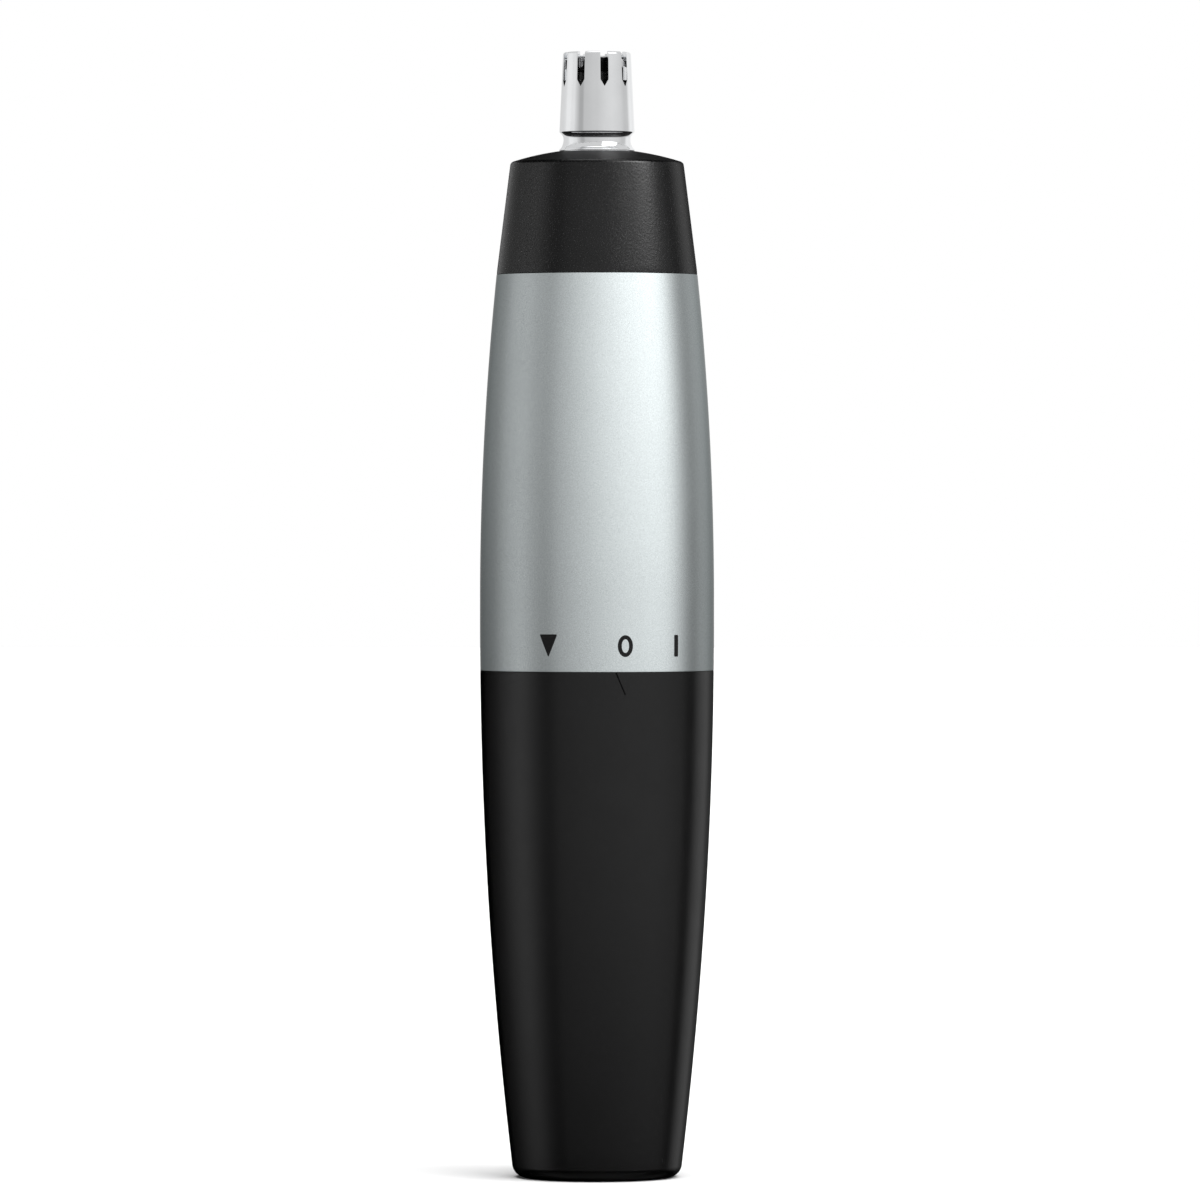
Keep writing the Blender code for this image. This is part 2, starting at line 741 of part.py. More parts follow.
def make_chassis():
    groove_high = HEAD_SEAL_HEIGHT + GROOVE_HALF_WIDTH
    groove_low = HEAD_SEAL_HEIGHT - GROOVE_HALF_WIDTH
    chassis = turned(
        "chassis",
        [
            (0, NECK_HIGH),
            (NECK_RADIUS, NECK_HIGH),
            (NECK_RADIUS, groove_high),
            (HEAD_GROOVE_RADIUS, groove_high),
            (HEAD_GROOVE_RADIUS, groove_low),
            (NECK_RADIUS, groove_low),
            (NECK_RADIUS, SHOULDER),
            *casing_wall(SHOULDER, CHASSIS_LOW, inset=CHASSIS_INSET, pieces=4),
            (0, CHASSIS_LOW),
        ],
        OUTER_STEPS,
    )
    pocket = slab("motor_pocket", flat_sided(POCKET_RADIUS, POCKET_HALF), CHASSIS_LOW - 1, POCKET_HIGH)
    boss_hole = rod("boss_hole", BOSS_HOLE_RADIUS, POCKET_HIGH - 1, CHAMBER_LOW + 1, SMALL_STEPS)
    chamber = rod("chamber", CHAMBER_RADIUS, CHAMBER_LOW, CHAMBER_HIGH, INNER_STEPS)
    spindle_hole = rod("spindle_hole", SPINDLE_HOLE, CHAMBER_HIGH - 1, NECK_HIGH, SMALL_STEPS)
    seal_seat = rod("seal_seat", SEAL_SEAT_RADIUS, SEAL_SEAT_LOW, NECK_HIGH + 1, SMALL_STEPS)
    cut(chassis, pocket, boss_hole, chamber, spindle_hole, seal_seat)
    keyway = box_outline(-KEYWAY_WIDTH / 2, KEYWAY_WIDTH / 2, KEYWAY_LOW, NECK_HIGH + 1)
    for bearing in KEY_BEARINGS:
        cut(chassis, facing(f"keyway_{bearing:.0f}", keyway, KEYWAY_INNER, NECK_RADIUS + 1, bearing))
    return chassis


def make_seals():
    barrel = torus("barrel_o_ring", BARREL_SEAL_MAJOR, BARREL_SEAL_MINOR, BARREL_SEAL_HEIGHT)
    head = torus("head_o_ring", HEAD_SEAL_MAJOR, HEAD_SEAL_MINOR, HEAD_SEAL_HEIGHT)
    shaft = ring("shaft_seal", SPINDLE_RADIUS + 0.1, 3.2, SEAL_SEAT_LOW + 0.2, NECK_HIGH - 0.2, SMALL_STEPS)
    return [barrel, head, shaft]


# --- Motor -------------------------------------------------------------------------------------------


def make_motor_case():
    can = slab("motor_can", flat_sided(MOTOR_RADIUS, MOTOR_HALF), CAN_LOW, CAN_HIGH)
    inside = flat_sided(MOTOR_RADIUS - MOTOR_WALL, MOTOR_HALF - MOTOR_WALL)
    cut(can, slab("can_inside", inside, CAN_LOW - 1, CAN_HIGH - MOTOR_WALL))
    join(can, rod("can_boss", MOTOR_BOSS_RADIUS, CAN_HIGH - 0.2, MOTOR_BOSS_HIGH, SMALL_STEPS))
    cut(can, rod("can_bore", MOTOR_BOSS_BORE, CAN_HIGH - 1, MOTOR_BOSS_HIGH + 1, SMALL_STEPS))

    bell = slab("motor_end_bell", flat_sided(MOTOR_RADIUS, MOTOR_HALF), BELL_LOW, BELL_HIGH)
    cut(bell, rod("bell_bore", LOWER_BUSH_RADIUS + 0.1, BELL_LOW - 1, BELL_HIGH + 1, SMALL_STEPS))
    upper_span = (CAN_HIGH - 0.4, MOTOR_BOSS_HIGH - 0.2)
    lower_span = (BELL_LOW + 0.2, BELL_HIGH - 0.1)
    upper = ring("motor_bearing_upper", BUSH_BORE, UPPER_BUSH_RADIUS, *upper_span, SMALL_STEPS)
    lower = ring("motor_bearing_lower", BUSH_BORE, LOWER_BUSH_RADIUS, *lower_span, SMALL_STEPS)
    pieces = [can, bell, upper, lower]

    slot_half = BRUSH_WIDTH / 2 + 0.2
    slot = box_outline(-slot_half, slot_half, BELL_LOW - 1, BELL_HIGH + 1)
    slot_inner = TERMINAL_MIDDLE - BRUSH_THICKNESS / 2 - 0.2
    slot_outer = TERMINAL_MIDDLE + BRUSH_THICKNESS / 2 + 0.2
    for side, bearing in (("left", -90.0), ("right", 90.0)):
        span = (bearing - MAGNET_HALF_ANGLE, bearing + MAGNET_HALF_ANGLE)
        name = f"magnet_{side}"
        pieces.append(arc_block(name, MAGNET_INNER, MAGNET_OUTER, *span, MAGNET_LOW, MAGNET_HIGH))
        cut(bell, facing(f"brush_slot_{side}", slot, slot_inner, slot_outer, bearing))
        pieces.append(fin(f"brush_{side}", brush_outline(), BRUSH_WIDTH, bearing))
    return pieces


def brush_outline():
    """A terminal outside the end bell that cranks in to lie along the commutator."""
    arm = COMMUTATOR_RADIUS + 0.15
    terminal = TERMINAL_MIDDLE - BRUSH_THICKNESS / 2
    inside = [
        (arm, COMMUTATOR_HIGH - 0.4),
        (arm, COMMUTATOR_LOW - 0.4),
        (terminal, CAN_LOW + 0.1),
        (terminal, TERMINAL_LOW),
    ]
    outside = [(radius + BRUSH_THICKNESS, z) for radius, z in reversed(inside)]
    return inside + outside


def make_rotor():
    shaft = rod("motor_shaft", SHAFT_RADIUS, SHAFT_LOW, SHAFT_HIGH, TINY_STEPS)
    hub_angle = math.degrees(math.asin(POLE_HALF_WIDTH / CORE_HUB))
    shoe_angle = math.degrees(math.asin(POLE_HALF_WIDTH / SHOE_INNER))
    core_outline = []
    for k in range(3):
        middle = 120.0 * k
        core_outline.append(polar(CORE_HUB, middle - hub_angle))
        core_outline += arc(SHOE_INNER, middle - shoe_angle, middle - SHOE_HALF_ANGLE)
        core_outline += arc(SHOE_OUTER, middle - SHOE_HALF_ANGLE, middle + SHOE_HALF_ANGLE)
        core_outline += arc(SHOE_INNER, middle + SHOE_HALF_ANGLE, middle + shoe_angle)
        core_outline.append(polar(CORE_HUB, middle + hub_angle))
    bore = arc(CORE_BORE, 0, 360)[:-1:3]
    core = slab("armature_core", core_outline, CORE_LOW, CORE_HIGH, holes=[bore])
    commutator = ring("commutator", CORE_BORE, COMMUTATOR_RADIUS, COMMUTATOR_LOW, COMMUTATOR_HIGH, TINY_STEPS)
    pieces = [shaft, core, commutator]

    room = 0.15
    half = POLE_HALF_WIDTH + room
    low, high = CORE_LOW - WINDING_OVERHANG, CORE_HIGH + WINDING_OVERHANG
    outline = box_outline(-WINDING_HALF_WIDTH, WINDING_HALF_WIDTH, low, high)
    hole = box_outline(-half, half, CORE_LOW - room, CORE_HIGH + room)
    for k in range(3):
        name = f"winding_{k + 1}"
        pieces.append(facing(name, outline, WINDING_INNER, WINDING_OUTER, 120.0 * k, holes=[hole]))
    return [*pieces, make_coupler()]


def make_coupler():
    """The spindle on the motor shaft, with a slot across its upper end for the cutter's dog."""
    coupler = turned(
        "drive_coupler",
        [
            (0, CLAW_HIGH),
            (CLAW_RADIUS, CLAW_HIGH),
            (CLAW_RADIUS, CLAW_LOW),
            (SPINDLE_RADIUS, CLAW_LOW),
            (SPINDLE_RADIUS, COUPLER_LOW),
            (COUPLER_SHAFT_HOLE, COUPLER_LOW),
            (COUPLER_SHAFT_HOLE, COUPLER_HOLE_HIGH),
            (0, COUPLER_HOLE_HIGH),
        ],
        SMALL_STEPS,
    )
    slot = box_outline(-CLAW_RADIUS - 1, CLAW_RADIUS + 1, -CLAW_SLOT / 2, CLAW_SLOT / 2)
    cut(coupler, slab("claw_slot", slot, CLAW_FLOOR, CLAW_HIGH + 1))
    cut(coupler, rod("claw_bore", CLAW_BORE, CLAW_FLOOR, CLAW_HIGH + 1, SMALL_STEPS))
    return coupler


# --- Head --------------------------------------------------------------------------------------------


def make_head_cap():
    dome = [(radius, dome_height(radius)) for radius in (GUARD_SEAT_RADIUS, 6.5, 8.3)]
    edge = (CAP_EDGE_RADIUS, dome_height(CAP_EDGE_RADIUS))
    foot = (cone_radius(CAP_LOW), CAP_LOW)
    shoulder = rounded(dome[-1], edge, foot, CAP_EDGE_ROUND, pieces=3)
    cap = turned(
        "head_cap",
        [
            (GUARD_HOLE, GUARD_SEAT),
            *dome,
            *shoulder,
            foot,
            (CAP_BORE, CAP_LOW),
            (CAP_BORE, CAP_BORE_HIGH),
            (cone_radius(CAP_ROOF) - CAP_WALL, CAP_ROOF),
            (CAP_BOSS_RADIUS, dome_height(CAP_BOSS_RADIUS) - CAP_WALL),
            (CAP_BOSS_RADIUS, CAP_BOSS_LOW),
            (GUARD_HOLE, CAP_BOSS_LOW),
        ],
        OUTER_STEPS,
    )
    key = box_outline(-KEY_WIDTH / 2, KEY_WIDTH / 2, KEY_LOW, KEY_HIGH)
    for bearing in KEY_BEARINGS:
        join(cap, facing(f"key_{bearing:.0f}", key, KEY_INNER, CAP_BORE + WELD_DEPTH, bearing))
    return cap


def make_guard():
    top = (GUARD_TOP_RADIUS, GUARD_TOP)
    skirt = (GUARD_SKIRT_RADIUS, GUARD_SKIRT)
    flare = 0.2
    guard = turned(
        "cutter_guard",
        [
            (0, GUARD_TOP - CROWN_DEPTH),
            (CROWN_INNER, GUARD_TOP - CROWN_DEPTH),
            (CROWN_INNER, GUARD_TOP),
            *rounded((0, GUARD_TOP), top, skirt, GUARD_TOP_ROUND, pieces=3),
            skirt,
            (NECK_IN_RADIUS, NECK_IN_HIGH),
            (NECK_IN_RADIUS, NECK_IN_LOW),
            (NECK_IN_RADIUS + flare / 2, NECK_IN_LOW - 2 * flare),
            (FOOT_RADIUS, FOOT_HIGH),
            (FOOT_RADIUS, FOOT_LOW),
            (NECK_IN_RADIUS, FOOT_LOW),
            (NECK_IN_RADIUS, SHANK_LOW),
            (GUARD_BORE, SHANK_LOW),
            (GUARD_BORE, GUARD_TOP - END_DISC),
            (0, GUARD_TOP - END_DISC),
        ],
        SLOT_COUNT * 4,
    )
    high = GUARD_TOP + 1
    half = SLOT_HALF_WIDTH
    slot = [(-half, high), (-half, SLOT_SHOULDER), (0, SLOT_TIP), (half, SLOT_SHOULDER), (half, high)]
    for k in range(SLOT_COUNT):
        bearing = SLOT_BEARING + 360.0 * k / SLOT_COUNT
        cut(guard, facing(f"guard_slot_{k}", slot, SLOT_INNER, FOOT_RADIUS + 1, bearing))
    return guard


def make_head_fittings():
    clip = ring("guard_clip", CLIP_INNER, CLIP_OUTER, CLIP_LOW, CLIP_HIGH, SMALL_STEPS)
    gap = box_outline(-CLIP_GAP / 2, CLIP_GAP / 2, CLIP_LOW - 1, CLIP_HIGH + 1)
    cut(clip, facing("clip_gap", gap, CLIP_INNER - 1, CLIP_OUTER + 1, 180.0))
    bush = turned(
        "cutter_bush",
        [
            (BUSH_BORE, BUSH_HIGH),
            (BUSH_RADIUS, BUSH_HIGH),
            (BUSH_RADIUS, BUSH_FLANGE_HIGH),
            (BUSH_FLANGE_RADIUS, BUSH_FLANGE_HIGH),
            (BUSH_FLANGE_RADIUS, BUSH_FLANGE_LOW),
            (BUSH_BORE, BUSH_FLANGE_LOW),
        ],
        SMALL_STEPS,
    )
    low = BUSH_HIGH + 0.1 + SPRING_WIRE
    high = STEM_COLLAR_LOW - 0.1 - SPRING_WIRE
    spring = coil("cutter_spring", SPRING_RADIUS, SPRING_RADIUS, low, high, SPRING_TURNS, SPRING_WIRE)
    return [clip, bush, spring]


# --- Cutter ------------------------------------------------------------------------------------------


def make_cutter():
    stem = turned(
        "cutter_stem",
        [
            (0, STEM_TIP),
            (STEM_TIP_RADIUS, STEM_TIP),
            (STEM_TIP_RADIUS, STEM_BODY_HIGH),
            (STEM_BODY_RADIUS, STEM_BODY_HIGH),
            (STEM_BODY_RADIUS, STEM_COLLAR_HIGH),
            (STEM_COLLAR_RADIUS, STEM_COLLAR_HIGH),
            (STEM_COLLAR_RADIUS, STEM_COLLAR_LOW),
            (SHAFT_RADIUS, STEM_COLLAR_LOW),
            (SHAFT_RADIUS, STEM_LOW),
            (0, STEM_LOW),
        ],
        TINY_STEPS,
    )
    dog = rod("drive_dog", DOG_BOSS, DOG_LOW, DOG_HIGH, SMALL_STEPS)
    bar = box_outline(-DOG_HALF_LENGTH, DOG_HALF_LENGTH, -DOG_WIDTH / 2, DOG_WIDTH / 2)
    join(dog, slab("dog_bar", bar, DOG_LOW, DOG_HIGH))
    cut(dog, rod("dog_bore", BUSH_BORE, STEM_LOW - 0.1, DOG_HIGH + 1, TINY_STEPS))
    return [stem, dog, make_blades()]


def make_blades():
    blades = ring("blade_rotor", BLADE_HUB_BORE, BLADE_HUB_RADIUS, BLADE_HUB_LOW, VANE_TOP, SMALL_STEPS)
    root = BLADE_HUB_RADIUS - 0.2
    vane = [(root, VANE_TOP), (VANE_RADIUS, VANE_TOP), (VANE_RADIUS, VANE_TIP_LOW), (root, VANE_ROOT_LOW)]
    for k in range(VANE_COUNT):
        bearing = VANE_BEARING + 360.0 * k / VANE_COUNT
        join(blades, fin(f"vane_{k}", vane, VANE_THICKNESS, bearing))
    return blades


# --- Assembly ----------------------------------------------------------------------------------------


def gather(name, parent, pieces):
    """Parents pieces that move together to an empty on the long axis, where every joint turns or slides."""
    empty = add_object(name, None)
    empty.parent = parent
    for piece in pieces:
        piece.parent = empty
    return empty


def paint(finish, *names):
    colour, roughness, metallic = FINISHES[finish]
    for name in names:
        material = bpy.data.materials.new(f"{name}_{finish}")
        material.use_nodes = True
        shader = material.node_tree.nodes["Principled BSDF"]
        shader.inputs["Base Color"].default_value = (*colour, 1.0)
        shader.inputs["Roughness"].default_value = roughness
        shader.inputs["Metallic"].default_value = metallic
        material.diffuse_color = (*colour, 1.0)
        bpy.data.objects[name].data.materials.append(material)


def main():
    main_pieces = [make_sleeve(), make_chassis(), make_collar()]
    main_pieces += make_seals() + make_contacts() + make_wires() + make_motor_case()
    body = gather("main_axis", None, main_pieces)
    battery = gather("battery_axis", body, make_battery())
    gather("barrel_axis", battery, [make_barrel(), *make_negative_contact()])
    gather("rotor_axis", body, make_rotor())
    head = gather("head_axis", body, [make_head_cap(), make_guard(), *make_head_fittings()])
    gather("cutter_axis", head, make_cutter())

    paint("black_satin", "battery_barrel")
    paint("black_grained", "head_cap")
    paint("silver_paint", "main_sleeve")
    paint("chrome", "cutter_guard")
    paint("steel", "blade_rotor", "cutter_spring", "guard_clip", "motor_can", "motor_shaft", "armature_core")
    paint("frame_plastic", "chassis", "switch_collar", "motor_end_bell")
    paint("acetal", "cutter_stem", "drive_dog", "drive_coupler", "cutter_bush")
    paint("rubber", "barrel_o_ring", "head_o_ring", "shaft_seal")
    paint("nickel", "positive_contact", "switch_contact", "negative_strip", "negative_spring")
    paint("nickel", "battery_can", "battery_positive_cap")
    paint("cell_wrap", "battery_wrap")
    paint("brass", "motor_bearing_upper", "motor_bearing_lower", "brush_left", "brush_right")
    paint("copper", "winding_1", "winding_2", "winding_3", "commutator")
    paint("ferrite", "magnet_left", "magnet_right")
    paint("red_insulation", "wire_positive")
    paint("black_insulation", "wire_negative")


main()
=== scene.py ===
import json
import math

import bmesh
import bpy
import numpy as np
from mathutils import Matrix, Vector


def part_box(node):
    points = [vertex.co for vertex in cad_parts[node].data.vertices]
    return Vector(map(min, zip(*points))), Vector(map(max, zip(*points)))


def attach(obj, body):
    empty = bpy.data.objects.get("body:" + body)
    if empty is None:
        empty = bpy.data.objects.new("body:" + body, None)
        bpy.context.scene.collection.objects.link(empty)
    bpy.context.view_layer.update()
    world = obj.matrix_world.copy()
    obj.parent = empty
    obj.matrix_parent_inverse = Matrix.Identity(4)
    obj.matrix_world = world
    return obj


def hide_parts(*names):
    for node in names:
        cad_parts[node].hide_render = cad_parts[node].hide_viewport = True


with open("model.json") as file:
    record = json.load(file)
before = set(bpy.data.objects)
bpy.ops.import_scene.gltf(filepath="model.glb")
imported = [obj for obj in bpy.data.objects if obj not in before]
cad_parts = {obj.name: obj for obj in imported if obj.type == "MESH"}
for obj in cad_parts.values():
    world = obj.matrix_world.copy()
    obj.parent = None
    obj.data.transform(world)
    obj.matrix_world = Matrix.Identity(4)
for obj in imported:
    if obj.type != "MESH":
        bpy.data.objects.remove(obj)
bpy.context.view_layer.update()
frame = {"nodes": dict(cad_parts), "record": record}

# Lengths below are millimetres unless they say otherwise. A bearing is an angle about the long axis in
# degrees, counted from the front (-Y) towards +X.
MM = 0.001

# Steps round a turned piece
FINEST = 288
FINE = 256
MEDIUM = 192
ROUND = 144
SMALL = 96


def low(node):
    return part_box(node)[0].z / MM


def high(node):
    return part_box(node)[1].z / MM


def reach(node):
    """How far a node goes along +X."""
    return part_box(node)[1].x / MM


# --- Sizes ---

# The casing's outside: two shallow arcs that meet a short straight belly
BELLY_RADIUS = reach("main_sleeve")
BELLY_LOW = 61.3
BELLY_HIGH = 64.1
LOWER_ARC = 505.0
UPPER_ARC = 355.0
BARREL_TOP = high("battery_barrel")
SLEEVE_LOW = low("main_sleeve")
SLEEVE_HIGH = high("main_sleeve")
CAP_LOW = low("head_cap")
# The seams between the casings are nearly closed, and each casing's curve starts a little off its edges
SEAM = 0.02
WALL_START = 0.3

# Battery barrel, with its bayonet and pointer
BARREL_WALL = 1.6
BARREL_FLOOR = 1.8
BOTTOM_ROUND = 1.5
BOTTOM_WALL = 3.2
MOUTH_LOW = 43.5
MOUTH_RADIUS = 11.5
RIB_INNER = 7.45
RIB_TOP = 43.0
RIB_WIDTH = 1.2
RIB_BEARINGS = (45, 135, 225, 315)
# How far a rib, ledge or key reaches into the wall that it stands on
WELD_DEPTH = 0.4
BAYONET_COUNT = 3
LEDGE_INNER = 11.0
LEDGE_LOW = 51.3
LEDGE_HIGH = 52.7
LEDGE_FIRST = -42
LEDGE_LAST = 26
STOP_LOW = 49.0
STOP_WIDTH = 2.5
RELEASE_STOP = 50.5
POINTER_BEARING = 13.9
POINTER_HEIGHT = 2.3
POINTER_HALF_WIDTH = 1.0
POINTER_DEPTH = 0.12
# The dark line down the pointer's left side: how far it leans past the recess, half its width and its depth
LINE_LEAN = 0.087
LINE_HALF_WIDTH = 0.085
LINE_DEPTH = 0.42

# Collar under the chassis, and the contacts
LUG_HEIGHTS = (49.6, 51.1)
LUG_RADII = (10.2, 11.35)
LUG_HALF_ANGLE = 10
SPIGOT_RADIUS = 10.6
SPIGOT_BORE = 8.6
SPIGOT_LOW = 46.0
COLLAR_RADIUS = 11.5
COLLAR_HIGH = 60.0
COLLAR_FLOOR_LOW = 57.6
COLLAR_FLOOR_HIGH = 58.8
COLLAR_CUP_RADIUS = 9.8
FLOOR_SLOT = (56.6, 59.8)
BARREL_SEAL_HEIGHT = 54.35
BARREL_GROOVE_RADIUS = 10.05
GROOVE_HALF_WIDTH = 0.75
LEAF_BEARING = 15
LEAF_WIDTH = 3.0
LEAF_THICKNESS = 0.2
LEAF_OUTER = 10.8
LEAF_INNER = 8.02
LEAF_LOW = 45.5
LEAF_TOP = 49.0
LEAF_SLOT_HALF = 1.8
CONTACT_RADIUS = 3.5
CONTACT_LOW = 57.05
CONTACT_HIGH = 57.35
TAB_RADIUS = 2.65
TAB_TOP = 59.8
STRIP_WIDTH = 3.0
STRIP_THICKNESS = 0.25
STRIP_BEARING = -13.5
STRIP_BASE = 2.05
STRIP_BASE_TOP = 2.3
STRIP_BASE_RADIUS = 5.4
STRIP_OUTER = 11.25
STRIP_TOP = 49.3
CELL_LOW = 6.4
CELL_SPRING_WIRE = 0.35

# Chassis, with the neck that the head plugs onto, and the drive
SLEEVE_WALL = 1.3
CHASSIS_INSET = 1.45
CHASSIS_LOW = 60.15
SHOULDER = 99.9
NECK_RADIUS = 8.75
NECK_HIGH = 105.0
HEAD_SEAL_HEIGHT = 102.5
HEAD_GROOVE_RADIUS = 7.75
POCKET_RADIUS = 10.2
POCKET_HALF = 7.7
POCKET_HIGH = 87.2
SEAL_BORE = 2.1
SEAL_RADIUS = 3.2
SEAL_SEAT_LOW = 103.0
# Radius, bottom and top of the holes along the chassis's axis
MOTOR_BOSS_HOLE = (3.3, 86.5, 90.0)
SPINDLE_HOLE = (2.3, 101.6, 105.5)
SEAL_SEAT = (3.3, SEAL_SEAT_LOW, 106.0)
DRIVE_CHAMBER = (6.5, 89.4, 102.6)
KEY_BEARINGS = (90, 270)
KEYWAY_LOW = 103.6
COUPLER_LOW = 90.5
COUPLER_SHAFT_HOLE = 1.1
COUPLER_HOLE_HIGH = 97.5
SPINDLE_RADIUS = 2.0
CLAW_LOW = 105.3
CLAW_FLOOR = 106.2
CLAW_HIGH = 108.0
CLAW_RADIUS = 2.8
CLAW_BORE = 1.75

# Head cap
CONE_SLOPE = 0.1247
CAP_WALL = 1.5
CAP_BORE = 9.0
CAP_BORE_HIGH = 105.6
DOME_APEX = 114.2
DOME_RADIUS = 31.0
DOME_FACE = 112.4
CAP_EDGE_RADIUS = 9.6
CAP_ROOF = 111.0
CAP_BOSS_RADIUS = 5.3
CAP_BOSS_LOW = 109.5
GUARD_HOLE = 3.85
GUARD_SEAT = 113.88
GUARD_SEAT_RADIUS = 4.5
KEY_INNER = 8.5
KEY_HEIGHTS = (103.9, 105.4)

# Cutter guard
GUARD_TOP = high("cutter_guard") - 0.001
GUARD_TOP_RADIUS = 3.76
GUARD_SKIRT_RADIUS = 4.17
GUARD_SKIRT = 116.05
NECK_IN_RADIUS = 3.72
FILLET = 0.9
FILLET_HEIGHT = 115.22
FOOT_RADIUS = reach("cutter_guard")
FOOT_HIGH = 114.08
FOOT_LOW = 113.95
SHANK_LOW = low("cutter_guard")
GUARD_BORE = 3.35
END_DISC = 0.62
CROWN_INNER = 3.2
CROWN_DEPTH = 0.45
SLOT_COUNT = 9
SLOT_BEARING = 12.4
SLOT_HALF_WIDTH = 0.45
SLOT_SHOULDER = 121.75
SLOT_TIP = 121.0
SLOT_INNER = 1.7

# What turns and rests inside the guard
BLADE_HUB_RADIUS = 2.2
BLADE_HUB_BORE = 1.0
VANE_COUNT = 5
VANE_BEARING = -36.6
VANE_THICKNESS = 0.4
VANE_ROOT = 2.0
VANE_RADIUS = 3.2
VANE_TIP_LOW = 123.1
VANE_ROOT_LOW = 123.75
CLIP_INNER = 3.8
CLIP_OUTER = 4.8
CLIP_LOW = 108.7
CLIP_HIGH = 109.4
BUSH_BORE = 1.1
BUSH_RADIUS = 3.25
BUSH_HIGH = 111.0
BUSH_FLANGE_RADIUS = 4.6
BUSH_FLANGE_LOW = 108.2
BUSH_FLANGE_HIGH = 108.45
STEM_LOW = 106.75
STEM_RADIUS = 1.0
STEM_COLLAR_LOW = 114.1
STEM_COLLAR_HIGH = 114.8
STEM_COLLAR_RADIUS = 2.7
STEM_BODY_RADIUS = 2.35
STEM_BODY_HIGH = 122.66
STEM_TIP_RADIUS = 0.9
STEM_TIP = 123.9
DOG_LOW = 106.6
DOG_HIGH = 107.9
DOG_HALF_LENGTH = 2.7
DOG_HALF_WIDTH = 0.6
DOG_BOSS = 1.6


# --- Points and outlines ---


def polar(radius, bearing):
    angle = math.radians(bearing)
    return (radius * math.sin(angle), -radius * math.cos(angle))


def arc(radius, first, last, step=2.0):
    pieces = max(1, round(abs(last - first) / step))
    return [polar(radius, first + (last - first) * i / pieces) for i in range(pieces + 1)]


def bow(across, radius):
    return radius - math.sqrt(radius**2 - across**2)


def outer_radius(z):
    """The casing's outside radius at height z, below the head cap."""
    if z < BELLY_LOW:
        return BELLY_RADIUS - bow(BELLY_LOW - z, LOWER_ARC)
    if z > BELLY_HIGH:
        return BELLY_RADIUS - bow(z - BELLY_HIGH, UPPER_ARC)
    return BELLY_RADIUS


def cone_radius(z):
    return outer_radius(CAP_LOW) - CONE_SLOPE * (z - CAP_LOW)


def dome_height(radius):
    return DOME_APEX - bow(radius, DOME_RADIUS)


def casing_wall(first, last, inset=0.0, pieces=24):
    heights = [first + (last - first) * i / pieces for i in range(pieces + 1)]
    return [(outer_radius(z) - inset, z) for z in heights]


def eased(corners, pieces=6):
    """The outline through (x, y) or (x, y, rounding) corners, with an arc at each one that has a rounding."""
    count = len(corners)
    outline = []
    for i, corner in enumerate(corners):
        at = Vector(corner[:2])
        if len(corner) < 3 or not corner[2]:
            outline.append(tuple(at))
            continue
        back = (Vector(corners[i - 1][:2]) - at).normalized()
        ahead = (Vector(corners[(i + 1) % count][:2]) - at).normalized()
        half = back.angle(ahead) / 2
        radius = corner[2]
        centre = at + (back + ahead).normalized() * radius / math.sin(half)
        start = at + back * radius / math.tan(half) - centre
        end = at + ahead * radius / math.tan(half) - centre
        first = math.atan2(start.y, start.x)
        turn = math.remainder(math.atan2(end.y, end.x) - first, math.tau)
        for k in range(pieces + 1):
            angle = first + turn * k / pieces
            outline.append((centre.x + radius * math.cos(angle), centre.y + radius * math.sin(angle)))
    return outline


def box_outline(x_low, x_high, y_low, y_high, rounding=0.0):
    corners = [(x_low, y_low), (x_high, y_low), (x_high, y_high), (x_low, y_high)]
    return eased([(*corner, rounding) for corner in corners])


def facing_box(half_width, bottom, top):
    """An upright rectangle in (distance along a tangent, height)."""
    return box_outline(-half_width, half_width, bottom, top)


# --- Meshes ---

PROFILES = {}


def bare_object(name, data):
    obj = bpy.data.objects.new(name, data)
    bpy.context.scene.collection.objects.link(obj)
    return obj


def mesh_object(name, points, faces):
    """An object from points in millimetres, with its faces turned outward."""
    mesh = bpy.data.meshes.new(name)
    mesh.from_pydata([Vector(p) * MM for p in points], [], faces)
    shape = bmesh.new()
    shape.from_mesh(mesh)
    bmesh.ops.recalc_face_normals(shape, faces=shape.faces)
    shape.to_mesh(mesh)
    shape.free()
    return bare_object(name, mesh)


def grid_faces(rows, columns, first=0):
    """Faces over a grid of points, which are numbered row by row from first."""
    faces = []
    for row in range(rows - 1):
        for column in range(columns - 1):
            a = first + row * columns + column
            faces.append([a, a + 1, a + columns + 1, a + columns])
    return faces


def turned(name, profile, steps=FINE):
    """A profile of (radius, height) turned about the axis, closed into a ring if it starts off the axis."""
    closed = profile[0][0] > 0
    points = []
    rows = []
    for radius, z in profile:
        if radius == 0:
            rows.append([len(points)] * steps)
            points.append((0, 0, z))
        else:
            rows.append(list(range(len(points), len(points) + steps)))
            points += [(*polar(radius, 360 * i / steps), z) for i in range(steps)]
    faces = []
    pairs = list(zip(rows, rows[1:]))
    if closed:
        pairs.append((rows[-1], rows[0]))
    for above, below in pairs:
        for i in range(steps):
            k = (i + 1) % steps
            corners = list(dict.fromkeys([above[i], below[i], below[k], above[k]]))
            if len(corners) > 2:
                faces.append(corners)
    obj = mesh_object(name, points, faces)
    PROFILES[obj.name] = (profile, closed)
    return obj


def lathe(name, corners, pieces=4, steps=SMALL):
    """A turned piece from (radius, height) or (radius, height, rounding) corners."""
    return turned(name, eased(corners, pieces), steps)


def ring(inner, outer, bottom, top, *roundings):
    """A turned ring or disc's corners with their roundings, from the inner top one to the inner bottom one."""
    corners = [(inner, top), (outer, top), (outer, bottom), (inner, bottom)]
    return [(*corner, rounding) for corner, rounding in zip(corners, roundings)]


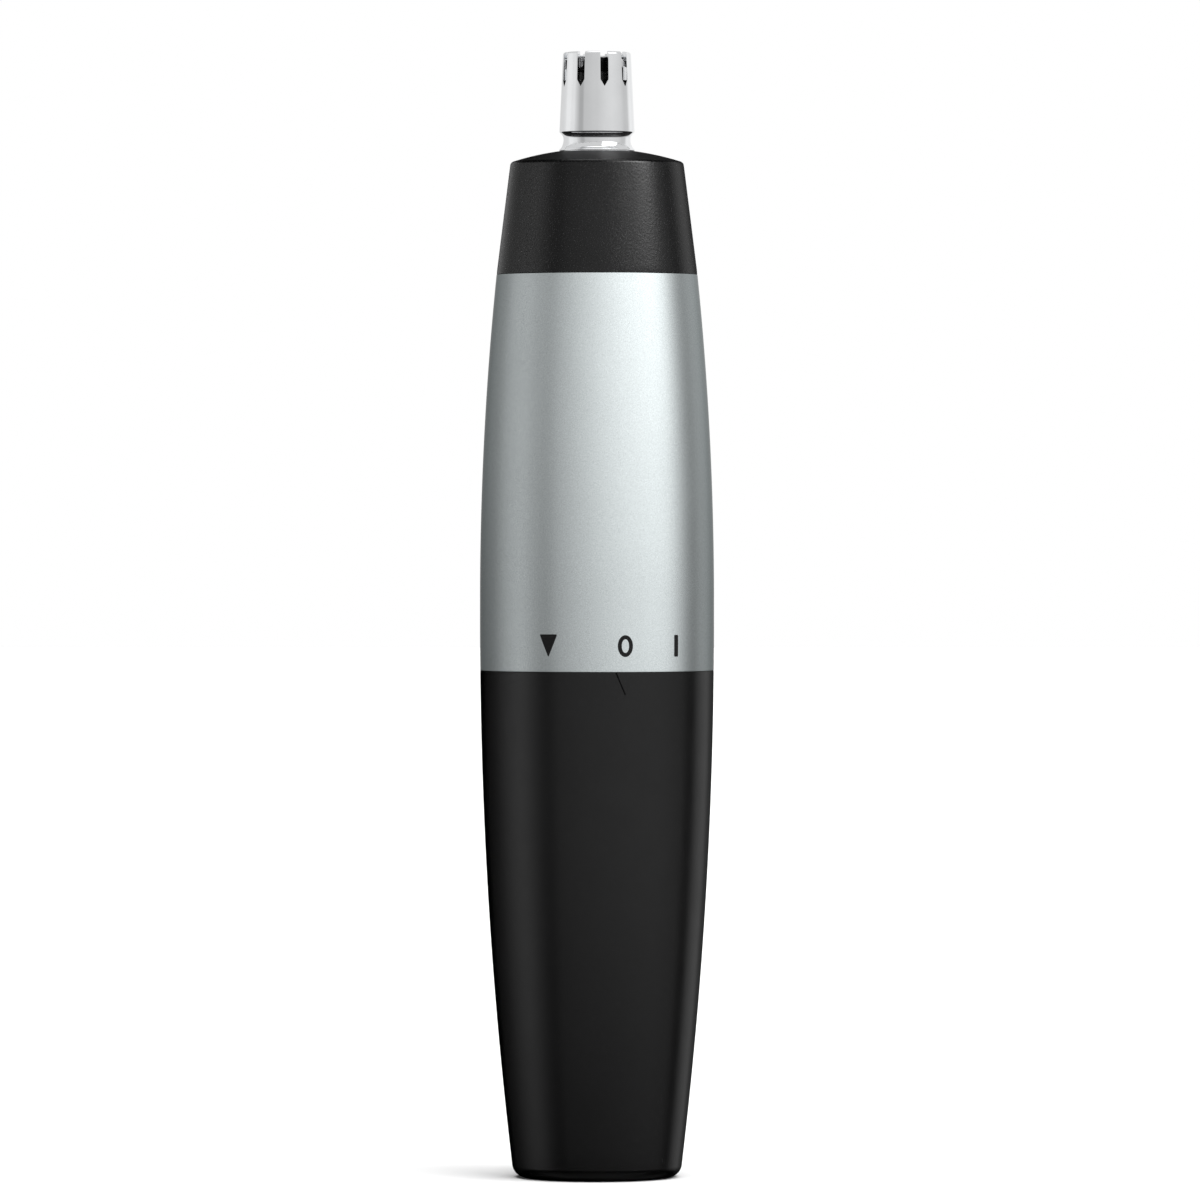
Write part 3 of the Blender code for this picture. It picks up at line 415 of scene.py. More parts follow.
def bore(radius, bottom, top):
    """A plain cylinder to cut with."""
    return turned("bore", [(0, top), (radius, top), (radius, bottom), (0, bottom)], SMALL)


def solid(name, outline, near, far, place):
    """A closed solid: an outline at two depths, put where place(u, v, depth) says."""
    count = len(outline)
    points = [place(u, v, near) for u, v in outline] + [place(u, v, far) for u, v in outline]
    faces = [list(range(count)), list(range(2 * count - 1, count - 1, -1))]
    faces += [[i, (i + 1) % count, (i + 1) % count + count, i + count] for i in range(count)]
    return mesh_object(name, points, faces)


def slab(name, outline, bottom, top):
    return solid(name, outline, bottom, top, lambda x, y, z: (x, y, z))


def fin(name, outline, width, bearing):
    """An upright plate in a plane through the axis. Its outline is in (radius, height)."""
    side_x, side_y = polar(1, bearing + 90)

    def place(radius, z, across):
        x, y = polar(radius, bearing)
        return (x + side_x * across, y + side_y * across, z)

    return solid(name, outline, -width / 2, width / 2, place)


def facing(name, outline, inner, outer, bearing, tilt=0.0):
    """An upright plate across a radius. Its outline is in (distance along the tangent, height)."""
    x, y = polar((inner + outer) / 2, bearing)
    out_x, out_y = polar(1, bearing + tilt)
    side_x, side_y = polar(1, bearing + tilt + 90)

    def place(across, z, depth):
        return (x + out_x * depth + side_x * across, y + out_y * depth + side_y * across, z)

    half = (outer - inner) / 2
    return solid(name, outline, -half, half, place)


def arc_block(name, inner, outer, first, last, bottom, top):
    return slab(name, arc(outer, first, last) + arc(inner, last, first), bottom, top)


END_RINGS = (0.5, 0.87)
END_RISE = 0.5


def swept(name, path, radius, sides):
    """A round wire along a path, with domed ends."""
    path = [Vector(p) for p in path]
    count = len(path)
    tangents = [(path[min(i + 1, count - 1)] - path[max(i - 1, 0)]).normalized() for i in range(count)]
    normal = tangents[0].orthogonal().normalized()
    points = []
    ends = []

    def add_ring(at, normal, other, size):
        for k in range(sides):
            angle = math.tau * k / sides
            points.append(at + (normal * math.cos(angle) + other * math.sin(angle)) * size)

    for at, tangent in zip(path, tangents):
        normal = (normal - tangent * normal.dot(tangent)).normalized()
        other = tangent.cross(normal)
        ends.append((at, tangent, normal.copy(), other))
        add_ring(at, normal, other, radius)
    following = [(k, (k + 1) % sides) for k in range(sides)]
    faces = []
    for base in range(0, (count - 1) * sides, sides):
        faces += [[base + k, base + n, base + sides + n, base + sides + k] for k, n in following]
    for base, (at, tangent, normal, other), way in ((0, ends[0], -1), ((count - 1) * sides, ends[-1], 1)):
        rise = tangent * way * radius * END_RISE
        for share in END_RINGS:
            start = len(points)
            add_ring(at + rise * share, normal, other, radius * math.sqrt(1 - share**2))
            faces += [[base + k, base + n, start + n, start + k] for k, n in following]
            base = start
        points.append(at + rise)
        faces += [[base + k, base + n, len(points) - 1] for k, n in following]
    return mesh_object(name, points, faces)


COIL_STEPS = 40
COIL_EASING = 0.25


def coil_path(radius_low, radius_high, bottom, top, turns):
    """The centre line of a round spring, wound a little closer at its ends."""
    count = round(turns * COIL_STEPS)
    path = []
    for i in range(count + 1):
        share = i / count
        share = share**2 * (3 - 2 * share) * COIL_EASING + share * (1 - COIL_EASING)
        x, y = polar(radius_low + (radius_high - radius_low) * share, 360 * turns * i / count)
        path.append((x, y, bottom + (top - bottom) * share))
    return path


def joined(name, pieces):
    """One object from several closed meshes."""
    shape = bmesh.new()
    for piece in pieces:
        shape.from_mesh(piece.data)
        bpy.data.objects.remove(piece, do_unlink=True)
    mesh = bpy.data.meshes.new(name)
    shape.to_mesh(mesh)
    shape.free()
    return bare_object(name, mesh)


def applied(obj):
    """Makes the object's modifiers part of its mesh."""
    bpy.context.view_layer.update()
    graph = bpy.context.evaluated_depsgraph_get()
    mesh = bpy.data.meshes.new_from_object(obj.evaluated_get(graph))
    obj.modifiers.clear()
    obj.data = mesh
    return obj


def boolean(obj, others, operation):
    other = joined("operand", others) if len(others) > 1 else others[0]
    modifier = obj.modifiers.new("Boolean", "BOOLEAN")
    modifier.operation = operation
    modifier.solver = "EXACT"
    modifier.object = other
    applied(obj)
    bpy.data.objects.remove(other, do_unlink=True)


def join(obj, *others):
    boolean(obj, others, "UNION")


def cut(obj, *others):
    boolean(obj, others, "DIFFERENCE")


def bevelled(obj, width, segments=2, angle=40):
    modifier = obj.modifiers.new("Bevel", "BEVEL")
    modifier.width = width * MM
    modifier.segments = segments
    modifier.limit_method = "ANGLE"
    modifier.angle_limit = math.radians(angle)
    modifier.use_clamp_overlap = True
    return applied(obj)


# --- Shading ---

CREASE = 33.0
SAME_WAY = 0.99
SURFACE_GAP = 0.03
TINY = 1e-6


def profile_segments(profile, closed):
    """Each profile segment as (start, end, normal at start, normal at end, its flat normal)."""
    points = [Vector(p) for p in profile]
    pairs = list(zip(points, points[1:]))
    if closed:
        pairs.append((points[-1], points[0]))
    flats = []
    for a, b in pairs:
        along = b - a
        flats.append((Vector((-along.y, along.x)).normalized(), along.length))
    count = len(pairs)
    limit = math.cos(math.radians(CREASE))

    def shared(i, k):
        if not closed and not 0 <= k < count:
            return flats[i][0]
        (own, length), (other, other_length) = flats[i], flats[k % count]
        if own.dot(other) < limit:
            return own
        return (own * length + other * other_length).normalized()

    return [(a, b, shared(i, i - 1), shared(i, i + 1), flats[i][0]) for i, (a, b) in enumerate(pairs)]


def shade_turned(obj):
    """Gives each face that is still part of the turned surface the true surface's normals."""
    segments = profile_segments(*PROFILES[obj.name])
    starts = np.array([start for start, *_ in segments])
    along = np.array([end for _, end, *_ in segments]) - starts
    lengths = np.maximum((along**2).sum(1), TINY**2)
    flat = np.array([segment[-1] for segment in segments])
    mesh = shade_cut(obj).data
    vertices = np.array([v.co for v in mesh.vertices]) / MM
    signs = []
    hits = []
    for polygon in mesh.polygons:
        corners = vertices[list(polygon.vertices)]
        centre = corners.mean(0)
        radius = math.hypot(centre[0], centre[1])
        if radius < TINY:
            continue
        normal = np.array(polygon.normal)
        facing_out = np.array((normal[:2] @ (centre[:2] / radius), normal[2]))
        at = np.array((np.hypot(corners[:, 0], corners[:, 1]).mean(), centre[2]))
        share = np.clip(((at - starts) * along).sum(1) / lengths, 0, 1)
        gap = np.hypot(*(at - starts - along * share[:, None]).T)
        gap[np.abs(flat @ facing_out) < SAME_WAY] = np.inf
        best = int(np.argmin(gap))
        if gap[best] <= SURFACE_GAP:
            signs.append(1 if flat[best] @ facing_out > 0 else -1)
            hits.append((polygon, segments[best]))
    sign = 1 if sum(signs) > 0 else -1
    normals = np.zeros((len(mesh.loops), 3), np.float32)
    for polygon, (start, end, first, last, _) in hits:
        run = end - start
        for loop in polygon.loop_indices:
            x, y, z = vertices[mesh.loops[loop].vertex_index]
            radius = math.hypot(x, y)
            share = (Vector((radius, z)) - start).dot(run) / max(run.length_squared, TINY**2)
            n = first.lerp(last, min(1.0, max(0.0, share))).normalized() * sign
            if radius > TINY:
                normals[loop] = (n.x * x / radius, n.x * y / radius, n.y)
            else:
                normals[loop] = (0, 0, n.y)
    mesh.normals_split_custom_set([tuple(n) for n in normals])
    return obj


def shade_cut(obj, angle=CREASE):
    obj.data.shade_smooth()
    obj.data.set_sharp_from_angle(angle=math.radians(angle))
    return obj


# --- Finishes ---


def add_node(tree, kind, inputs=None, **settings):
    """A shader node with its settings, and for each input a value or the socket that feeds it."""
    node = tree.nodes.new("ShaderNode" + kind)
    for setting, value in settings.items():
        setattr(node, setting, value)
    for key, value in (inputs or {}).items():
        if isinstance(value, bpy.types.NodeSocket):
            tree.links.new(value, node.inputs[key])
        else:
            node.inputs[key].default_value = value
    return node


def finish(name, colour, roughness, metallic=0.0, specular=0.5):
    """A plain material with a Principled shader, for patterns to be hung on."""
    material = bpy.data.materials.new(name)
    material.use_nodes = True
    inputs = material.node_tree.nodes["Principled BSDF"].inputs
    inputs["Base Color"].default_value = (*colour, 1)
    inputs["Roughness"].default_value = roughness
    inputs["Metallic"].default_value = metallic
    inputs["Specular IOR Level"].default_value = specular
    material.diffuse_color = (*colour, 1)
    return material


def feed(material, name, value):
    tree = material.node_tree
    tree.links.new(value, tree.nodes["Principled BSDF"].inputs[name])


def own_place(tree):
    """The place on the piece, in the piece's own coordinates."""
    node = tree.nodes.get("Coordinates") or add_node(tree, "TexCoord", name="Coordinates")
    return node.outputs["Object"]


def scaled_place(tree, scale, stretch=(1, 1, 1)):
    scales = [s * scale / MM for s in stretch]
    return add_node(tree, "Mapping", {"Vector": own_place(tree), "Scale": scales}).outputs["Vector"]


def pattern(tree, scale, detail=3.0, stretch=(1, 1, 1), rough=0.55):
    """A noise over the piece, with scale in features per millimetre."""
    place = scaled_place(tree, scale, stretch)
    inputs = {"Vector": place, "Scale": 1.0, "Detail": detail, "Roughness": rough}
    return add_node(tree, "TexNoise", inputs).outputs["Fac"]


def cells(tree, scale):
    """A pattern of round cells over the piece, with scale in cells per millimetre."""
    inputs = {"Vector": scaled_place(tree, scale), "Scale": 1.0}
    return add_node(tree, "TexVoronoi", inputs).outputs["Distance"]


def ranged(tree, value, to_low, to_high, from_low=0.3, from_high=0.7):
    inputs = {"Value": value, "From Min": from_low, "From Max": from_high, "To Min": to_low, "To Max": to_high}
    return add_node(tree, "MapRange", inputs).outputs["Result"]


def blended(tree, value, first, second):
    inputs = {"A": (*first, 1), "B": (*second, 1), "Factor": value}
    return add_node(tree, "Mix", inputs, data_type="RGBA").outputs["Result"]


def tinted(material, value, first, second):
    tree = material.node_tree
    feed(material, "Base Color", blended(tree, ranged(tree, value, 0, 1), first, second))


def roughened(material, value, least, most):
    feed(material, "Roughness", ranged(material.node_tree, value, least, most))


def bumped(material, value, height):
    """Raises the surface by value times height millimetres, on top of any bump before it."""
    tree = material.node_tree
    inputs = {"Distance": height * MM, "Strength": 1.0, "Height": value}
    normal = tree.nodes["Principled BSDF"].inputs["Normal"]
    if normal.is_linked:
        inputs["Normal"] = normal.links[0].from_socket
    feed(material, "Normal", add_node(tree, "Bump", inputs).outputs["Normal"])


def shade(colour, factor):
    return tuple(min(1.0, c * factor) for c in colour)


def moulded(name, colour, roughness, grain, height, specular=0.5, spread=0.05):
    """Moulded plastic: a fine grain, patches of polish from handling, and slight mottling."""
    material = finish(name, colour, roughness, specular=specular)
    tree = material.node_tree
    tinted(material, pattern(tree, 0.12, detail=4), shade(colour, 0.85), shade(colour, 1.15))
    roughened(material, pattern(tree, 0.25, detail=5), roughness - spread, roughness + spread)
    bumped(material, pattern(tree, grain, detail=2), height)
    return material


METAL_SPREAD = 0.04


def metal(name, colour, roughness, stretch, streaks, height=0.0006):
    """Bare or plated metal: streaks along one way, and duller patches."""
    material = finish(name, colour, roughness, metallic=1.0)
    tree = material.node_tree
    streaked = pattern(tree, streaks, detail=4, stretch=stretch)
    tinted(material, streaked, shade(colour, 0.9), shade(colour, 1.06))
    roughened(material, pattern(tree, 0.3, detail=4), roughness - METAL_SPREAD, roughness + METAL_SPREAD)
    bumped(material, streaked, height)
    return material


# Colour, roughness, grains per millimetre and their height, and any specular level and spread of roughness
PLASTICS = {
    "barrel_plastic": ((0.0015, 0.0015, 0.0016), 0.22, 3.5, 0.0008, 0.42, 0.03),
    "cap_plastic": ((0.004, 0.004, 0.0042), 0.24, 3.2, 0.014, 0.42, 0.03),
    "cap_top": ((0.010, 0.010, 0.0103), 0.55, 3.0, 0.02, 0.16),
    "stem_plastic": ((0.006, 0.006, 0.006), 0.5, 2.0, 0.003),
    "frame_plastic": ((0.045, 0.047, 0.050), 0.48, 3.0, 0.004),
    "acetal": ((0.72, 0.72, 0.68), 0.40, 2.0, 0.003),
    "rubber": ((0.018, 0.018, 0.018), 0.62, 4.0, 0.006),
    "magnet": ((0.06, 0.06, 0.065), 0.6, 3.0, 0.01),
    "wire_red": ((0.50, 0.05, 0.04), 0.45, 2.0, 0.004),
    "wire_black": ((0.03, 0.03, 0.03), 0.45, 2.0, 0.004),
    "mark_ink": ((0.005, 0.005, 0.005), 0.5, 8.0, 0.002, 0.12),
}
# Colour, roughness, stretch of the streaks, streaks per millimetre, and any height of theirs
METALS = {
    # guard_bore_painted_shade: a near-black copy of the plating, painted shade for the guard's bore, which
    # lies in shadow
    "guard_bore_painted_shade": ((0.03, 0.03, 0.03), 0.55, (1, 1, 0.2), 3.0),
    "ground_edge": ((0.92, 0.92, 0.92), 0.4, (1, 1, 0.3), 5.0),
    # blade_hub_painted_shade: a near-black steel, painted shade for the hub, which sits in shadow inside the
    # guard
    "blade_hub_painted_shade": ((0.02, 0.02, 0.02), 0.5, (1, 1, 0.3), 4.0),
    "cutter_steel": ((0.66, 0.66, 0.67), 0.18, (1, 1, 0.1), 9.0),
    "spring_steel": ((0.60, 0.60, 0.61), 0.26, (1, 1, 0.3), 6.0),
    "nickel_contact": ((0.68, 0.65, 0.58), 0.28, (1, 1, 0.15), 5.0),
    "cell_can": ((0.70, 0.70, 0.70), 0.30, (1, 1, 0.1), 4.0),
    "cell_cap": ((0.72, 0.71, 0.68), 0.25, (1, 1, 1), 3.0),
    "motor_steel": ((0.58, 0.58, 0.58), 0.34, (1, 1, 0.2), 4.0),
    "core_steel": ((0.40, 0.40, 0.41), 0.42, (0.1, 0.1, 4), 2.0),
    "copper": ((0.72, 0.32, 0.16), 0.32, (0.3, 0.3, 2), 4.0),
    "bearing_bronze": ((0.62, 0.45, 0.22), 0.45, (1, 1, 1), 5.0, 0.004),
}


def grain_cap(cap, top):
    """Adds the cap's pebbled grain, and the speckled gloss of its cone."""
    tree = cap.node_tree
    bumped(cap, cells(tree, 5.0), 0.006)
    speckle = pattern(tree, 4.5, rough=0.7)
    roughened(cap, speckle, 0.16, 0.34)
    bumped(cap, speckle, 0.012)
    bumped(top, cells(top.node_tree, 5.0), 0.008)


def sleeve_paint():
    """Silver paint with fine flakes, duller at grazing angles than bare metal."""
    silver = (0.432, 0.464, 0.468)
    paint = finish("sleeve_paint", silver, 0.24, metallic=1.0)
    tree = paint.node_tree
    tree.nodes["Principled BSDF"].inputs["Specular Tint"].default_value = (0.35, 0.36, 0.36, 1)
    tinted(paint, pattern(tree, 11.0, detail=1), shade(silver, 0.88), shade(silver, 1.12))
    roughened(paint, pattern(tree, 0.15, detail=5), 0.22, 0.26)
    bumped(paint, cells(tree, 9.0), 0.0006)
    return paint


def guard_chrome():
    """Bright plating with faint clouds and a faint ripple."""
    chrome = finish("guard_chrome", (0.86, 0.87, 0.88), 0.06, metallic=1.0)
    tree = chrome.node_tree
    roughened(chrome, pattern(tree, 0.8, detail=5), 0.03, 0.07)
    tinted(chrome, pattern(tree, 0.4), (0.84, 0.85, 0.86), (0.88, 0.89, 0.90))
    bumped(chrome, pattern(tree, 1.5, detail=2), 0.0002)
    return chrome


def wrap_film():
    """The cell's printed film: a plain dark body under a light band at the positive end."""
    film = finish("cell_wrap", (0.07, 0.12, 0.18), 0.3)
    tree = film.node_tree
    height = add_node(tree, "SeparateXYZ", {"Vector": own_place(tree)}).outputs["Z"]
    band = ranged(tree, height, 0, 1, 47.0 * MM, 47.1 * MM)
    colour = blended(tree, band, (0.05, 0.09, 0.14), (0.55, 0.56, 0.57))
    inputs = {"A": colour, "B": ranged(tree, pattern(tree, 0.5, detail=5), 0.85, 1.0), "Factor": 1.0}
    mottled = add_node(tree, "Mix", inputs, data_type="RGBA", blend_type="MULTIPLY")
    feed(film, "Base Color", mottled.outputs["Result"])
    roughened(film, pattern(tree, 0.4, detail=4), 0.24, 0.36)
    bumped(film, pattern(tree, 0.6), 0.004)
    return film


def make_finishes():
    made = {name: moulded(name, *values) for name, values in PLASTICS.items()}
    made.update((name, metal(name, *values)) for name, values in METALS.items())
    grain_cap(made["cap_plastic"], made["cap_top"])
    made["sleeve_paint"] = sleeve_paint()
    made["guard_chrome"] = guard_chrome()
    made["cell_wrap"] = wrap_film()
    return made


FINISHES = make_finishes()


def placed(obj, body, slot_name, *nodes, material=None):
    """Gives a piece its finish, and says which body it rides on and which CAD nodes it stands for."""
    obj.data.materials.clear()
    obj.data.materials.append(FINISHES[material or slot_name])
    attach(obj, body)
    if nodes:
        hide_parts(*nodes)
    return obj


def refinished(obj, name, chosen):
    """Gives the faces that chosen(radius, height, face) picks a further finish."""
    obj.data.materials.append(FINISHES[name])
    slot = len(obj.data.materials) - 1
    for face in obj.data.polygons:
        x, y, z = (c / MM for c in face.center)
        if chosen(math.hypot(x, y), z, face):
            face.material_index = slot


# --- Casing ---


def cut_pointer(barrel):
    """A shallow triangular recess at the barrel's top edge, with a fine line down its left side."""
    top = BARREL_TOP + 0.2
    low_end = Vector((0.0, BARREL_TOP - POINTER_HEIGHT))
    outline = [(-POINTER_HALF_WIDTH, top), (POINTER_HALF_WIDTH, top), tuple(low_end)]
    tilt = math.degrees(math.atan2(POINTER_DEPTH, 2 * POINTER_HALF_WIDTH))
    middle = outer_radius(BARREL_TOP) - POINTER_DEPTH / 2
    cut(barrel, facing("pointer", outline, middle, middle + 1, POINTER_BEARING, tilt=-tilt))
    high_end = Vector((-POINTER_HALF_WIDTH - LINE_LEAN, top))
    run = high_end - low_end
    aside = Vector((run.y, -run.x)).normalized() * LINE_HALF_WIDTH
    line = [tuple(p) for p in (low_end - aside, low_end + aside, high_end + aside, high_end - aside)]
    inner = outer_radius(BARREL_TOP) - LINE_DEPTH
    cut(barrel, facing("pointer_groove", line, inner, inner + 1.5, POINTER_BEARING))


def make_barrel():
    inside = casing_wall(BARREL_FLOOR + 1.2, MOUTH_LOW, inset=BARREL_WALL, pieces=20)
    top = SLEEVE_LOW - SEAM
    barrel = lathe("casing_barrel", [
        (0, BARREL_FLOOR), (inside[0][0], BARREL_FLOOR, 0.9), *inside,
        (MOUTH_RADIUS, MOUTH_LOW + MOUTH_RADIUS - inside[-1][0]), (MOUTH_RADIUS, top, 0.25),
        (outer_radius(BARREL_TOP), top, 0.04), *casing_wall(BARREL_TOP - 0.2, BOTTOM_WALL, pieces=70),
        (outer_radius(0), 0, BOTTOM_ROUND), (0, 0),
    ], pieces=8, steps=FINE)
    rib_foot = BARREL_FLOOR - WELD_DEPTH
    wall = casing_wall(rib_foot, RIB_TOP, inset=BARREL_WALL - WELD_DEPTH, pieces=12)
    rib = [(RIB_INNER, RIB_TOP), (RIB_INNER, rib_foot), *wall]
    join(barrel, *[fin("rib", rib, RIB_WIDTH, bearing) for bearing in RIB_BEARINGS])
    ledges = []
    stops = []
    ledge_radii = (LEDGE_INNER, MOUTH_RADIUS + WELD_DEPTH)
    for k in range(BAYONET_COUNT):
        turn = 360 / BAYONET_COUNT * k
        first = turn + LEDGE_FIRST
        ledges.append(arc_block("ledge", *ledge_radii, first, turn + LEDGE_LAST, LEDGE_LOW, LEDGE_HIGH))
        for start, stop_top in ((first, LEDGE_LOW + 0.2), (turn + RELEASE_STOP, LEDGE_HIGH)):
            stops.append(arc_block("stop", *ledge_radii, start, start + STOP_WIDTH, STOP_LOW, stop_top))
    join(barrel, *ledges)
    join(barrel, *stops)
    cut_pointer(barrel)
    placed(shade_turned(barrel), "barrel", "barrel_plastic", "battery_barrel")


def make_sleeve():
    low_end, high_end = SLEEVE_LOW + WALL_START, SLEEVE_HIGH - WALL_START
    foot = outer_radius(SLEEVE_LOW)
    head = outer_radius(SLEEVE_HIGH)
    sleeve = lathe("casing_sleeve", [
        (foot - SLEEVE_WALL, SLEEVE_LOW, 0.1),
        *casing_wall(low_end, high_end, inset=SLEEVE_WALL, pieces=16),
        (head - SLEEVE_WALL, SLEEVE_HIGH, 0.1), (head, SLEEVE_HIGH, 0.04),
        *casing_wall(high_end, low_end, pieces=64), (foot, SLEEVE_LOW, 0.04),
    ], steps=FINE)
    return placed(shade_turned(sleeve), "main", "sleeve_paint", "main_sleeve")


def make_head_cap():
    bottom = SLEEVE_HIGH + SEAM
    cap = lathe("casing_head_cap", [
        (GUARD_HOLE, GUARD_SEAT),
        *[(r, dome_height(r)) for r in np.linspace(GUARD_SEAT_RADIUS, CAP_EDGE_RADIUS - 1, 14)],
        (CAP_EDGE_RADIUS, dome_height(CAP_EDGE_RADIUS), 0.5),
        *[(cone_radius(z), z) for z in np.linspace(CAP_ROOF + 0.5, CAP_LOW + WALL_START, 30)],
        (cone_radius(CAP_LOW), bottom, 0.04), (CAP_BORE, bottom, 0.2), (CAP_BORE, CAP_BORE_HIGH),
        (cone_radius(CAP_ROOF) - CAP_WALL, CAP_ROOF, 0.4),
        (CAP_BOSS_RADIUS, dome_height(CAP_BOSS_RADIUS) - CAP_WALL, 0.3),
        (CAP_BOSS_RADIUS, CAP_BOSS_LOW, 0.15), (GUARD_HOLE, CAP_BOSS_LOW, 0.1),
    ], pieces=8, steps=FINE)
    key = facing_box(1, *KEY_HEIGHTS)
    join(cap, *[facing("key", key, KEY_INNER, CAP_BORE + WELD_DEPTH, bearing) for bearing in KEY_BEARINGS])
    placed(shade_turned(cap), "head", "cap_plastic", "head_cap")
    refinished(cap, "cap_top", lambda radius, z, face: z > DOME_FACE and face.normal.z > 0.85)
    return cap


MARK_LAYERS = (-0.01, 0.006)
MARK_ROWS = 17
MARK_COLUMNS = 13


def mark_piece(name, outline, hole, bearing):
    """A printed mark on the sleeve: an outline in (distance round the sleeve, height), with any hole."""

    def lifted(across, z, depth):
        return (*polar(outer_radius(z) + depth, bearing + math.degrees(across / BELLY_RADIUS)), z)

    if hole:
        count = len(outline)
        faces = []
        points = [lifted(u, v, depth) for depth in MARK_LAYERS for u, v in outline + hole]
        for i in range(count):
            k = (i + 1) % count
            for a, b in ((0, 1), (2, 3), (0, 2), (1, 3)):
                faces.append([a * count + i, a * count + k, b * count + k, b * count + i])
        return mesh_object(name, points, faces)

    # rows across the shape, so that the mark follows the sleeve's curve
    heights = [round(v, 4) for _, v in outline]
    points = []
    for depth in MARK_LAYERS:
        for z in np.linspace(min(heights), max(heights), MARK_ROWS):
            first, last = width_at(outline, z)
            step = (last - first) / (MARK_COLUMNS - 1)
            points += [lifted(first + step * i, z, depth) for i in range(MARK_COLUMNS)]
    size = MARK_ROWS * MARK_COLUMNS
    faces = grid_faces(MARK_ROWS, MARK_COLUMNS) + grid_faces(MARK_ROWS, MARK_COLUMNS, size)
    rim = list(range(MARK_COLUMNS))
    rim += [r * MARK_COLUMNS + MARK_COLUMNS - 1 for r in range(1, MARK_ROWS)]
    rim += [(MARK_ROWS - 1) * MARK_COLUMNS + c for c in range(MARK_COLUMNS - 2, -1, -1)]
    rim += [r * MARK_COLUMNS for r in range(MARK_ROWS - 2, 0, -1)]
    faces += [[a, b, b + size, a + size] for a, b in zip(rim, rim[1:] + rim[:1])]
    return mesh_object(name, points, faces)


NEAR = 1e-3


def width_at(outline, z):
    """The least and greatest distance round the sleeve that a convex outline has at height z."""
    found = []
    for (u0, v0), (u1, v1) in zip(outline, outline[1:] + outline[:1]):
        if min(v0, v1) - NEAR <= z <= max(v0, v1) + NEAR:
            if v1 == v0:
                found += [u0, u1]
            else:
                share = min(1, max(0, (z - v0) / (v1 - v0)))
                found.append(u0 + (u1 - u0) * share)
    return min(found), max(found)


def make_marks():
    """The release, off and on marks, printed on the sleeve."""
    bottom, top = SLEEVE_LOW + 1.66, SLEEVE_LOW + 4.06
    middle = (bottom + top) / 2
    half = (top - bottom) / 2
    arrow = eased([(-1.07, top + 0.08, 0.06), (0, bottom - 0.05, 0.05), (1.07, top + 0.08, 0.06)], pieces=4)
    bar = eased([(-0.29, bottom, 0.04), (0.29, bottom, 0.04), (0.29, top, 0.04), (-0.29, top, 0.04)], pieces=4)

    def ellipse(half_width, half_height):
        turns = [math.tau * i / 72 for i in range(72)]
        return [(half_width * math.cos(a), middle + half_height * math.sin(a)) for a in turns]

    marks = []
    for name, outline, hole, bearing in (
        ("mark_release", arrow, None, -24.3),
        ("mark_off", ellipse(0.86, half), ellipse(0.41, half - 0.45), 13.9),
        ("mark_on", bar, None, 42.1),
    ):
        mark = shade_cut(mark_piece(name, outline, hole, bearing))
        marks.append(placed(mark, "main", "barrel_plastic", material="mark_ink"))
    return marks


# --- Cutter head ---


def make_guard():
    turns = np.linspace(1, 0, 12)
    fillet = [(FILLET * (1 - math.cos(t)), FILLET_HEIGHT + FILLET * math.sin(t)) for t in turns]
    flare = [(0, 115.1), (0.03, 114.9), (0.08, 114.7), (0.15, 114.5), (0.22, 114.36)]
    flare += [(0.32, 114.23), (0.43, 114.14)]
    guard = lathe("cutter_tube", [
        (0, GUARD_TOP - CROWN_DEPTH), (CROWN_INNER, GUARD_TOP - CROWN_DEPTH, 0.08),
        (CROWN_INNER, GUARD_TOP, 0.06), (GUARD_TOP_RADIUS, GUARD_TOP, 0.3), (4.14, 116.66),
        (GUARD_SKIRT_RADIUS, GUARD_SKIRT, 0.03),
        *[(NECK_IN_RADIUS + away, z) for away, z in fillet + flare], (FOOT_RADIUS, FOOT_HIGH, 0.02),
        (FOOT_RADIUS, FOOT_LOW, 0.04), (NECK_IN_RADIUS, FOOT_LOW), (NECK_IN_RADIUS, SHANK_LOW, 0.1),
        (GUARD_BORE, SHANK_LOW, 0.1), (GUARD_BORE, GUARD_TOP - END_DISC, 0.1),
        (0, GUARD_TOP - END_DISC),
    ], pieces=7, steps=FINEST)
    half = SLOT_HALF_WIDTH
    top = GUARD_TOP + 1
    shoulders = [(-half, SLOT_SHOULDER, 0.06), (0, SLOT_TIP, 0.03), (half, SLOT_SHOULDER, 0.06)]
    slot = eased([(-half, top), *shoulders, (half, top)], pieces=5)
    for k in range(SLOT_COUNT):
        cut(guard, facing("slot", slot, SLOT_INNER, FOOT_RADIUS + 1, SLOT_BEARING + 360 * k / SLOT_COUNT))
    placed(shade_turned(guard), "head", "guard_chrome", "cutter_guard")

    def in_bore(radius, z, face):
        return radius < GUARD_BORE + 0.02 and z < GUARD_TOP - END_DISC + 0.02

    def slot_end(radius, z, face):
        return not in_bore(radius, z, face) and z > SLOT_TIP and radius < 2.0 and abs(face.normal.z) < 0.5

    # The faces inside the bore get a near-black finish: painted shade, since the bore lies in shadow behind
    # the slots
    refinished(guard, "guard_bore_painted_shade", in_bore)
    refinished(guard, "ground_edge", slot_end)
    return guard


